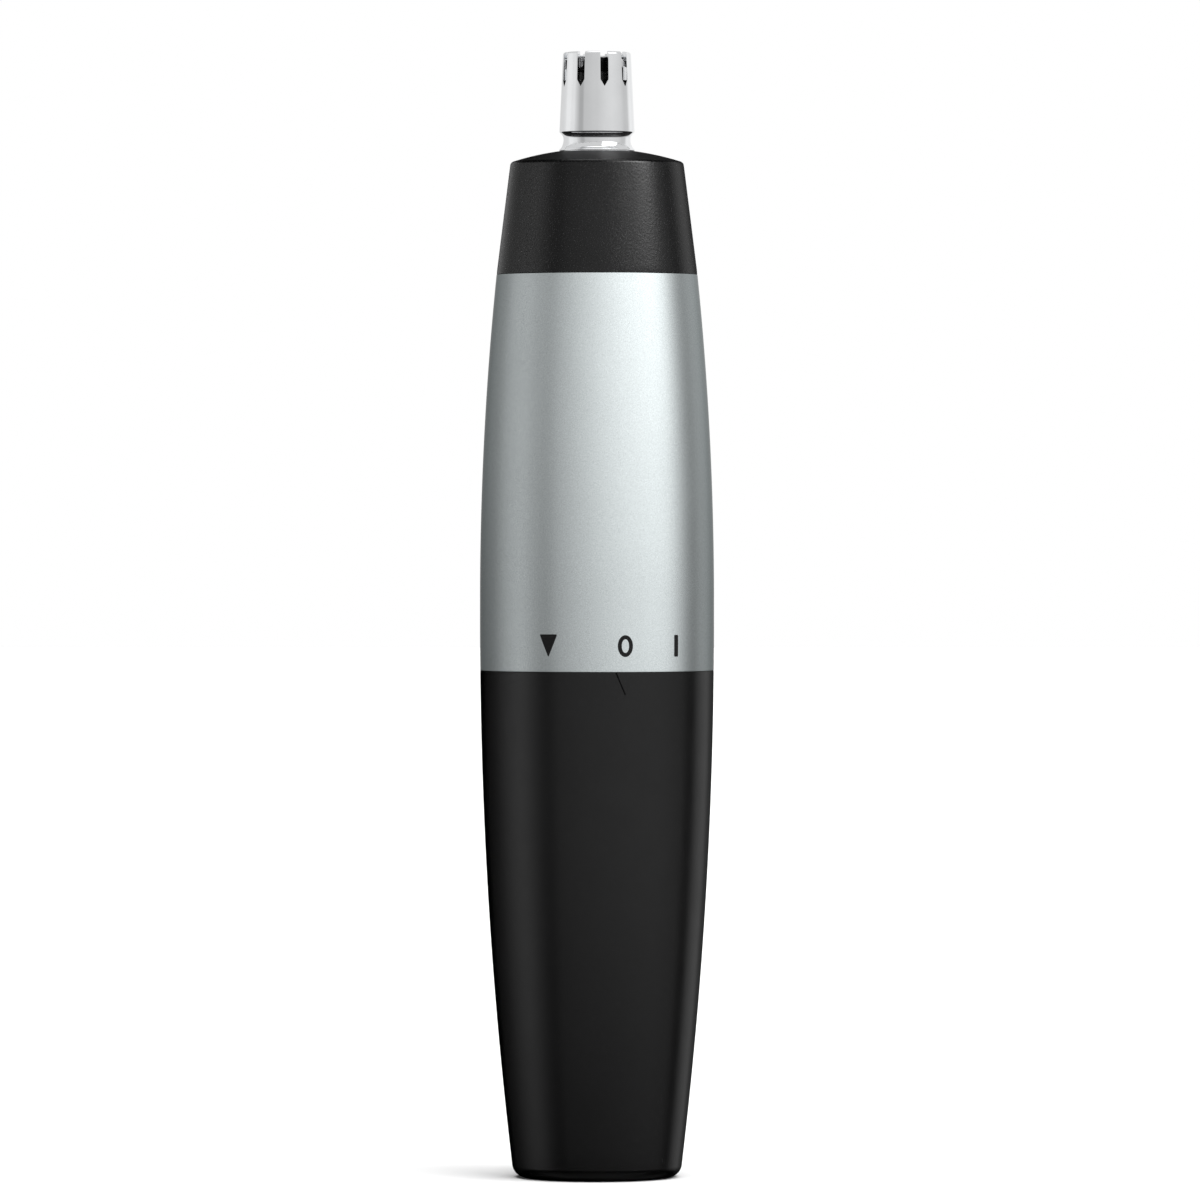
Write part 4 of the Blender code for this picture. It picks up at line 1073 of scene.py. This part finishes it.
def make_blades():
    bottom, top = low("blade_rotor"), high("blade_rotor")
    hub = ring(BLADE_HUB_BORE, BLADE_HUB_RADIUS, bottom, top, 0.05, 0.08, 0.08, 0.05)
    blades = lathe("cutting_blades", hub)
    vane = [(VANE_ROOT, top), (VANE_RADIUS, top), (VANE_RADIUS, VANE_TIP_LOW), (VANE_ROOT, VANE_ROOT_LOW)]
    vanes = []
    for k in range(VANE_COUNT):
        bearing = VANE_BEARING + 360 / VANE_COUNT * k
        vanes.append(bevelled(fin("vane", vane, VANE_THICKNESS, bearing), 0.05))
    join(blades, *vanes)
    placed(shade_cut(blades, 25), "cutter", "cutter_steel", "blade_rotor")
    # The hub's faces get a near-black finish: painted shade for the shadow inside the guard
    refinished(blades, "blade_hub_painted_shade", lambda radius, z, face: radius < BLADE_HUB_RADIUS + 0.02)


def make_head_fittings():
    corners = ring(CLIP_INNER, CLIP_OUTER, CLIP_LOW, CLIP_HIGH, 0.08, 0.12, 0.12, 0.08)
    clip = lathe("guard_circlip", corners, steps=ROUND)
    gap = facing_box(1, CLIP_LOW - 1.7, CLIP_HIGH + 1.6)
    cut(clip, facing("clip_gap", gap, CLIP_INNER - 1, CLIP_OUTER + 1, 180))
    placed(shade_turned(clip), "head", "spring_steel", "guard_clip")

    bush = lathe("stem_bush", [
        (BUSH_BORE, BUSH_HIGH, 0.1), (BUSH_RADIUS, BUSH_HIGH, 0.15), (BUSH_RADIUS, BUSH_FLANGE_HIGH),
        (BUSH_FLANGE_RADIUS, BUSH_FLANGE_HIGH, 0.06), (BUSH_FLANGE_RADIUS, BUSH_FLANGE_LOW, 0.06),
        (BUSH_BORE, BUSH_FLANGE_LOW, 0.12),
    ])
    placed(shade_turned(bush), "head", "acetal", "cutter_bush")

    spring = swept("blade_spring", coil_path(2.3, 2.3, 111.3, 113.8, 3.5), 0.2, sides=14)
    placed(shade_cut(spring, 60), "head", "spring_steel", "cutter_spring")


def make_stem():
    stem = lathe("cutter_shaft", [
        (0, STEM_TIP), (STEM_TIP_RADIUS, STEM_TIP, 0.15), (STEM_TIP_RADIUS, STEM_BODY_HIGH),
        (STEM_BODY_RADIUS, STEM_BODY_HIGH, 0.08), (STEM_BODY_RADIUS, STEM_COLLAR_HIGH),
        (STEM_COLLAR_RADIUS, STEM_COLLAR_HIGH, 0.08), (STEM_COLLAR_RADIUS, STEM_COLLAR_LOW, 0.08),
        (STEM_RADIUS, STEM_COLLAR_LOW), (STEM_RADIUS, STEM_LOW, 0.12), (0, STEM_LOW),
    ])
    placed(shade_turned(stem), "cutter", "acetal", "cutter_stem", material="stem_plastic")

    dog = lathe("dog", ring(0, DOG_BOSS, DOG_LOW, DOG_HIGH, 0, 0.1, 0.1, 0))
    bar = box_outline(-DOG_HALF_LENGTH, DOG_HALF_LENGTH, -DOG_HALF_WIDTH, DOG_HALF_WIDTH, 0.1)
    join(dog, slab("dog_bar", bar, DOG_LOW + 0.02, DOG_HIGH - 0.02))
    cut(dog, bore(BUSH_BORE, DOG_LOW + 0.05, DOG_HIGH + 1.1))
    dog.name = "drive_tang"
    placed(shade_cut(dog), "cutter", "acetal", "drive_dog", material="stem_plastic")


# --- Under the casing ---


def o_ring(name, node, major, minor):
    middle = (low(node) + high(node)) / 2
    turns = np.linspace(0, math.tau, 25)[:-1]
    circle = [(major + minor * math.sin(a), middle + minor * math.cos(a)) for a in turns]
    placed(shade_turned(turned(name, circle, MEDIUM)), "main", "rubber", node)


def seal_groove(middle, outer, inner):
    """The four corners of a groove for an O-ring, from the top down."""
    top, bottom = middle + GROOVE_HALF_WIDTH, middle - GROOVE_HALF_WIDTH
    return [(outer, top, 0.08), (inner, top, 0.08), (inner, bottom, 0.08), (outer, bottom, 0.08)]


def make_neck():
    chassis = lathe("inner_chassis", [
        (0, NECK_HIGH), (NECK_RADIUS, NECK_HIGH, 0.3),
        *seal_groove(HEAD_SEAL_HEIGHT, NECK_RADIUS, HEAD_GROOVE_RADIUS), (NECK_RADIUS, SHOULDER, 0.15),
        *casing_wall(SHOULDER, CHASSIS_LOW, inset=CHASSIS_INSET, pieces=30), (0, CHASSIS_LOW),
    ], steps=MEDIUM)
    corner = math.degrees(math.acos(POCKET_HALF / POCKET_RADIUS))
    pocket = arc(POCKET_RADIUS, corner, 180 - corner) + arc(POCKET_RADIUS, 180 + corner, 360 - corner)
    cut(chassis, slab("pocket", pocket, 59, POCKET_HIGH))
    for radius, bottom, top in (MOTOR_BOSS_HOLE, SPINDLE_HOLE, SEAL_SEAT, DRIVE_CHAMBER):
        cut(chassis, bore(radius, bottom, top))
    for bearing in KEY_BEARINGS:
        cut(chassis, facing("keyway", facing_box(1.25, KEYWAY_LOW, 106), 8.2, 9.75, bearing))
    placed(shade_turned(chassis), "main", "frame_plastic", "chassis")

    seal = ring(SEAL_BORE, SEAL_RADIUS, SEAL_SEAT_LOW + 0.2, NECK_HIGH - 0.2, 0.12, 0.15, 0.15, 0.12)
    seal = lathe("spindle_seal", seal)
    placed(shade_turned(seal), "main", "rubber", "shaft_seal")
    o_ring("neck_o_ring", "head_o_ring", 8.365, 0.565)
    o_ring("collar_o_ring", "barrel_o_ring", 10.76, 0.65)


def make_coupler():
    coupler = lathe("drive_claw", [
        (0, CLAW_HIGH), (CLAW_RADIUS, CLAW_HIGH, 0.15), (CLAW_RADIUS, CLAW_LOW, 0.12),
        (SPINDLE_RADIUS, CLAW_LOW, 0.1), (SPINDLE_RADIUS, COUPLER_LOW, 0.1),
        (COUPLER_SHAFT_HOLE, COUPLER_LOW), (COUPLER_SHAFT_HOLE, COUPLER_HOLE_HIGH),
        (0, COUPLER_HOLE_HIGH),
    ])
    cut(coupler, slab("claw_slot", box_outline(-4, 4, -0.8, 0.8), CLAW_FLOOR, CLAW_HIGH + 1))
    cut(coupler, bore(CLAW_BORE, CLAW_FLOOR, CLAW_HIGH + 1))
    placed(shade_turned(coupler), "motor_rotor", "acetal", "drive_coupler")


def make_collar():
    collar = lathe("bayonet_collar", [
        (0, COLLAR_FLOOR_HIGH), (COLLAR_CUP_RADIUS, COLLAR_FLOOR_HIGH, 0.2),
        (COLLAR_CUP_RADIUS, COLLAR_HIGH), (COLLAR_RADIUS, COLLAR_HIGH, 0.1),
        (COLLAR_RADIUS, SLEEVE_LOW, 0.1), (SPIGOT_RADIUS, SLEEVE_LOW, 0.08),
        *seal_groove(BARREL_SEAL_HEIGHT, SPIGOT_RADIUS, BARREL_GROOVE_RADIUS),
        (SPIGOT_RADIUS, SPIGOT_LOW, 0.3), (SPIGOT_BORE, SPIGOT_LOW, 0.3),
        (SPIGOT_BORE, COLLAR_FLOOR_LOW, 0.3), (0, COLLAR_FLOOR_LOW),
    ], steps=MEDIUM)
    lugs = []
    for k in range(BAYONET_COUNT):
        turn = 360 / BAYONET_COUNT * k
        first, last = turn - LUG_HALF_ANGLE, turn + LUG_HALF_ANGLE
        lugs.append(bevelled(arc_block("lug", *LUG_RADII, first, last, *LUG_HEIGHTS), 0.12))
    join(collar, *lugs)
    cut(collar, facing("leaf_pocket", facing_box(LEAF_SLOT_HALF, 45, STRIP_TOP), 10.3, 11.3, LEAF_BEARING))
    cut(collar, facing("leaf_slot", facing_box(LEAF_SLOT_HALF, *FLOOR_SLOT), 7.72, 8.52, LEAF_BEARING))
    cut(collar, slab("tab_slot", box_outline(-TAB_RADIUS - 0.5, -TAB_RADIUS + 0.5, -1.3, 1.3), *FLOOR_SLOT))
    placed(shade_turned(collar), "main", "frame_plastic", "switch_collar")


def make_contacts():
    disc = lathe("contact_plate", ring(0, CONTACT_RADIUS, CONTACT_LOW, CONTACT_HIGH, 0, 0.08, 0.08, 0))
    tab = box_outline(-TAB_RADIUS - 0.15, -TAB_RADIUS + 0.15, -1.0, 1.0, 0.05)
    join(disc, slab("tab", tab, CONTACT_LOW + 0.05, TAB_TOP))
    placed(shade_cut(disc), "main", "nickel_contact", "positive_contact")

    floor = LEAF_LOW + LEAF_THICKNESS
    corners = [
        (LEAF_OUTER, LEAF_TOP, 0.08),
        (LEAF_OUTER, LEAF_LOW, 0.4),
        (LEAF_INNER, LEAF_LOW, 0.4),
        (LEAF_INNER, TAB_TOP),
        (LEAF_INNER + LEAF_THICKNESS, TAB_TOP),
        (LEAF_INNER + LEAF_THICKNESS, floor, 0.2),
        (LEAF_OUTER - LEAF_THICKNESS, floor, 0.2),
        (LEAF_OUTER - LEAF_THICKNESS, LEAF_TOP, 0.08),
    ]
    leaf = fin("contact_leaf", eased(corners, pieces=5), LEAF_WIDTH, LEAF_BEARING)
    placed(shade_cut(bevelled(leaf, 0.03, segments=1, angle=60)), "main", "nickel_contact", "switch_contact")


def make_negative_contact():
    foot = outer_radius(STRIP_BASE) - STRIP_BASE
    wall = casing_wall(42.5, CELL_LOW, inset=2.05, pieces=20)
    outside = [(STRIP_OUTER, STRIP_TOP), (STRIP_OUTER, 45.2), *wall, (foot, STRIP_BASE)]
    inside = [(r - STRIP_THICKNESS, z) for r, z in outside[:-1]] + [(foot - STRIP_THICKNESS, STRIP_BASE_TOP)]
    outline = [*outside, (0, STRIP_BASE), (0, STRIP_BASE_TOP), *reversed(inside)]
    strip = fin("contact_strip", outline, STRIP_WIDTH, STRIP_BEARING)
    base = ring(0, STRIP_BASE_RADIUS, STRIP_BASE, STRIP_BASE_TOP, 0, 0.06, 0.06, 0)
    join(strip, lathe("strip_base", base, pieces=6))
    placed(shade_cut(strip), "barrel", "nickel_contact", "negative_strip")

    path = coil_path(5.0, 3.0, STRIP_BASE_TOP + 0.45, CELL_LOW - 0.5, 4)
    spring = swept("contact_spring", path, CELL_SPRING_WIRE, sides=18)
    placed(shade_cut(spring, 60), "barrel", "nickel_contact", "negative_spring")


def make_cell():
    bottom, top = low("battery_can"), high("battery_can")
    can = lathe("cell_body", [
        (0, top), (6.2, top, 0.15), (6.35, top - 0.35, 0.1), (6.75, top - 0.35, 0.1), (7.0, top, 0.12),
        (7.0, bottom, 0.35), (4.6, bottom, 0.2), (4.4, bottom + 0.25, 0.2), (0, bottom + 0.25),
    ], pieces=5, steps=ROUND)
    placed(shade_turned(can), "battery", "cell_can", "battery_can")
    film = ring(7.02, 7.25, bottom + 0.12, top - 0.12, 0, 0.1, 0.1, 0)
    placed(shade_turned(lathe("cell_film", film, 5, ROUND)), "battery", "cell_wrap", "battery_wrap")
    bottom, top = low("battery_positive_cap"), high("battery_positive_cap")
    button = lathe("cell_button", [(0, top), (2.6, top, 0.35), (2.75, bottom, 0.05), (0, bottom)], pieces=6)
    placed(shade_turned(button), "battery", "cell_cap", "battery_positive_cap")


def paint_hidden_nodes():
    """Gives each CAD node that still shows its slot's finish."""
    slots = {part["node"]: part["material_slot"] for part in frame["record"]["subparts"]}
    for name, node in frame["nodes"].items():
        if node.hide_render:
            continue
        node.data.materials.clear()
        node.data.materials.append(FINISHES[slots[name]])


# --- Studio ---


def light_only(source, name, pieces):
    """Makes a light or a bright panel shine on these pieces and nothing else."""
    receivers = bpy.data.collections.new(name)
    for piece in pieces:
        receivers.objects.link(piece)
    source.light_linking.receiver_collection = receivers


def make_floor():
    half = 4.0  # metres
    mesh = bpy.data.meshes.new("floor")
    corners = [(-half, -half, 0), (half, -half, 0), (half, half, 0), (-half, half, 0)]
    mesh.from_pydata(corners, [], [(0, 1, 2, 3)])
    floor = bare_object("floor", mesh)
    paper = finish("floor_paper", (0.93, 0.93, 0.93), 0.9, specular=0.1)
    tinted(paper, pattern(paper.node_tree, 0.02), (0.925, 0.925, 0.925), (0.935, 0.935, 0.935))
    mesh.materials.append(paper)
    floor.visible_glossy = False
    return floor


def light_floor(floor):
    """A wide soft light from above, on the floor only, so that it stays as pale as the backdrop."""
    light = bpy.data.lights.new("floor_light", "SUN")
    light.energy = 3.4
    light.angle = math.radians(70)
    obj = bare_object("floor_light", light)
    obj.rotation_euler = (math.radians(8), math.radians(6), 0)
    light_only(obj, "floor_lights", [floor])


def math_node(tree, operation, *values):
    return add_node(tree, "Math", dict(enumerate(values)), operation=operation).outputs[0]


def ramp(tree, value, stops, first, last):
    """Brightness by value, from (place, brightness) stops. The value is 0 at first and 1 at last."""
    node = add_node(tree, "ValToRGB", {"Fac": value})
    elements = node.color_ramp.elements
    elements.remove(elements[-1])
    peak = max(level for _, level in stops)
    for i, (place, level) in enumerate(stops):
        position = (place - first) / (last - first)
        element = elements[0] if i == 0 else elements.new(position)
        element.position = position
        element.color = (level / peak, level / peak, level / peak, 1)
    return math_node(tree, "MULTIPLY", node.outputs["Color"], peak)


def by_azimuth(tree, way, stops):
    """Brightness by the azimuth of a direction, in degrees from the camera towards the right."""
    forward = math_node(tree, "MULTIPLY", way["Y"], -1)
    turn = math_node(tree, "MULTIPLY_ADD", math_node(tree, "ARCTAN2", way["X"], forward), 1 / math.tau, 0.5)
    return ramp(tree, turn, stops, -180, 180)


# Brightness round the horizon of what stands beside the object, and how it goes on above and below
SIDE_PANELS = [
    (-180, 0), (-150, 0), (-128, 0.05), (-118, 0.12), (-108, 0.28), (-95, 0.6), (-84, 0.85), (-76, 0.82),
    (-66, 0.55), (-56, 0.28), (-47, 0.24), (-40, 0.48), (-28, 0.53), (-10, 0.62), (10, 0.68), (30, 0.74),
    (50, 0.76), (66, 0.72), (80, 0.58), (94, 0.42), (104, 0.1), (112, 0.1), (118, 0.42), (126, 0.52),
    (140, 0.42), (150, 0.1), (180, 0),
]
SIDE_RISE = [(-90, 0.2), (-60, 0.2), (-45, 0.15), (-30, 0), (-22, 0), (-7, 1), (22, 1), (34, 0), (90, 0)]
# The same for the key light, which hangs higher, and for the light overhead
KEY_PANEL = [(-180, 0), (18, 0), (24, 3), (60, 4), (74, 4), (78, 0), (180, 0)]
KEY_RISE = [(-90, 0), (24, 0), (30, 1), (48, 1), (58, 0), (90, 0)]
TOP_RISE = [(-90, 0), (62, 0), (74, 1), (90, 1)]
TOP_LEVEL = 1.6
# What the sleeve, the cap and the guard each reflect beside the common panels, by azimuth and by height
SLEEVE_PANEL = [
    (-180, 0.95), (-152, 0.8), (-125, 0.52), (-108, 0.5), (-94, 0.23), (-84, 0), (-72, 0.02), (-58, 0.32),
    (-47, 0.47), (-38, 0.4), (-28, 0.51), (-19, 0.62), (-9, 0.71), (0, 0.85), (19, 1.06), (38, 1.24),
    (48, 1.32), (58, 1.46), (72, 1.5), (80, 1.3), (88, 0.85), (96, 0.52), (108, 0.5), (118, 0.22),
    (128, 0.3), (140, 0.65), (152, 1.15), (180, 1.25),
]
SLEEVE_HEIGHTS = [
    (-800, 1.1), (-420, 1), (-280, 0.35), (-180, 0.12), (5, 0.45), (80, 0.68), (160, 0.9), (270, 1.14),
    (410, 1.25), (600, 1.25),
]
CAP_KEY = [(22, 0), (32, 0.25), (50, 0.6), (62, 1.8), (74, 1.8), (78, 0)]
CAP_KEY_HEIGHTS = [(132, 0), (143, 0.9), (158, 2), (175, 3.6), (240, 3.6)]
CAP_SIDES = [(-165, 0.5), (-140, 0.32), (-125, 0.22), (-108, 0.22), (-94, 0.06), (-88, 0)]
CAP_SIDE_HEIGHTS = [(5, 1), (400, 1), (460, 0)]
GUARD_PANEL = [
    (-180, 0.72), (-152, 0.72), (-126, 0.7), (-108, 0.65), (-94, 0.3), (-84, 0), (-72, 0.02), (-58, 0.16),
    (-47, 0.2), (-38, 0.1), (-28, 0.08), (0, 0), (66, 0.03), (80, 0.13), (94, 0.2), (104, 0.52),
    (112, 0.52), (118, 0.4), (128, 0.44), (140, 0.5), (152, 0.85), (180, 0.9),
]
GUARD_HEIGHTS = [(-600, 0.9), (-220, 0.8), (-120, 0), (-20, 0), (8, 1), (300, 1), (360, 0)]
ALL_ROUND = [(-180, 1), (180, 1)]
GUARD_FILL_HEIGHTS = [(280, 0), (360, 0.7), (900, 0.7)]
PANEL_COLUMNS = 48
PANEL_ROWS = 24


def panel_glow(name, stops, heights):
    """A finish that glows by azimuth times by height, and lets through what is behind it."""
    material = bpy.data.materials.new(name)
    material.use_nodes = True
    tree = material.node_tree
    tree.nodes.clear()
    way = add_node(tree, "SeparateXYZ", {"Vector": own_place(tree)}).outputs
    bottom, top = heights[0][0], heights[-1][0]
    across = by_azimuth(tree, way, stops)
    up = ramp(tree, ranged(tree, way["Z"], 0, 1, bottom * MM, top * MM), heights, bottom, top)
    glow = add_node(tree, "Emission", {"Strength": math_node(tree, "MULTIPLY", across, up)}).outputs[0]
    clear = add_node(tree, "BsdfTransparent").outputs[0]
    add_node(tree, "OutputMaterial", {"Surface": add_node(tree, "AddShader", {0: glow, 1: clear}).outputs[0]})
    return material


def make_panel(name, radius, stops, heights, lit):
    """A soft curved panel round the object, that only lights the pieces in lit."""
    first, last = stops[0][0], stops[-1][0]
    bottom, top = heights[0][0], heights[-1][0]
    points = []
    for row in range(PANEL_ROWS + 1):
        for column in range(PANEL_COLUMNS + 1):
            x, y = polar(radius, first + (last - first) * column / PANEL_COLUMNS)
            points.append(Vector((x, y, bottom + (top - bottom) * row / PANEL_ROWS)) * MM)
    mesh = bpy.data.meshes.new(name)
    mesh.from_pydata(points, [], grid_faces(PANEL_ROWS + 1, PANEL_COLUMNS + 1))
    mesh.materials.append(panel_glow(name, stops, heights))
    panel = bare_object(name, mesh)
    panel.visible_camera = False
    panel.visible_shadow = False
    light_only(panel, name + "_lights", lit)


def make_world():
    """The common panels, seen only in reflections and as light: the camera sees plain white."""
    world = bpy.data.worlds.new("studio")
    bpy.context.scene.world = world
    world.use_nodes = True
    tree = world.node_tree
    coordinates = add_node(tree, "TexCoord")
    way = add_node(tree, "SeparateXYZ", {"Vector": coordinates.outputs["Generated"]}).outputs
    rise = math_node(tree, "MULTIPLY_ADD", math_node(tree, "ARCSINE", way["Z"]), 1 / math.pi, 0.5)

    def up(stops):
        return ramp(tree, rise, stops, -90, 90)

    sides = math_node(tree, "MULTIPLY", by_azimuth(tree, way, SIDE_PANELS), up(SIDE_RISE))
    key = math_node(tree, "MULTIPLY", by_azimuth(tree, way, KEY_PANEL), up(KEY_RISE))
    overhead = math_node(tree, "MULTIPLY", up(TOP_RISE), TOP_LEVEL)
    light = math_node(tree, "ADD", math_node(tree, "ADD", sides, key), overhead)
    seen = add_node(tree, "LightPath").outputs["Is Camera Ray"]
    strength = add_node(tree, "Mix", {"Factor": seen, "A": light, "B": 1.0}).outputs["Result"]
    background = tree.nodes["Background"]
    background.inputs["Color"].default_value = (1, 1, 1, 1)
    tree.links.new(strength, background.inputs["Strength"])


CAMERA_DISTANCE = 1025.0
EYE_LEVEL = 73.8
AIM_HEIGHT = 64.1
AIM_ACROSS = 0.33
FRAME_WIDTH = 133.3


def make_camera():
    camera = bpy.data.cameras.new("camera")
    camera.sensor_width = 36.0
    camera.lens = camera.sensor_width * CAMERA_DISTANCE / FRAME_WIDTH
    camera.clip_start = 0.05
    camera.clip_end = 20
    obj = bare_object("camera", camera)
    obj.location = Vector((AIM_ACROSS, -CAMERA_DISTANCE, EYE_LEVEL)) * MM
    aim = Vector((AIM_ACROSS, 0, AIM_HEIGHT)) * MM - obj.location
    obj.rotation_euler = aim.to_track_quat("-Z", "Y").to_euler()
    bpy.context.scene.camera = obj


make_barrel()
sleeve = make_sleeve()
cap = make_head_cap()
marks = make_marks()
guard = make_guard()
make_blades()
make_head_fittings()
make_stem()
make_neck()
make_coupler()
make_collar()
make_contacts()
make_negative_contact()
make_cell()
paint_hidden_nodes()
floor = make_floor()
make_world()
make_panel("sleeve_panel", 900, SLEEVE_PANEL, SLEEVE_HEIGHTS, [sleeve, *marks])
make_panel("cap_key", 150, CAP_KEY, CAP_KEY_HEIGHTS, [cap])
make_panel("cap_sides", 900, CAP_SIDES, CAP_SIDE_HEIGHTS, [cap])
make_panel("guard_panel", 400, GUARD_PANEL, GUARD_HEIGHTS, [guard])
make_panel("guard_fill", 400, ALL_ROUND, GUARD_FILL_HEIGHTS, [guard])
light_floor(floor)
make_camera()
bpy.context.scene.view_settings.view_transform = "Standard"
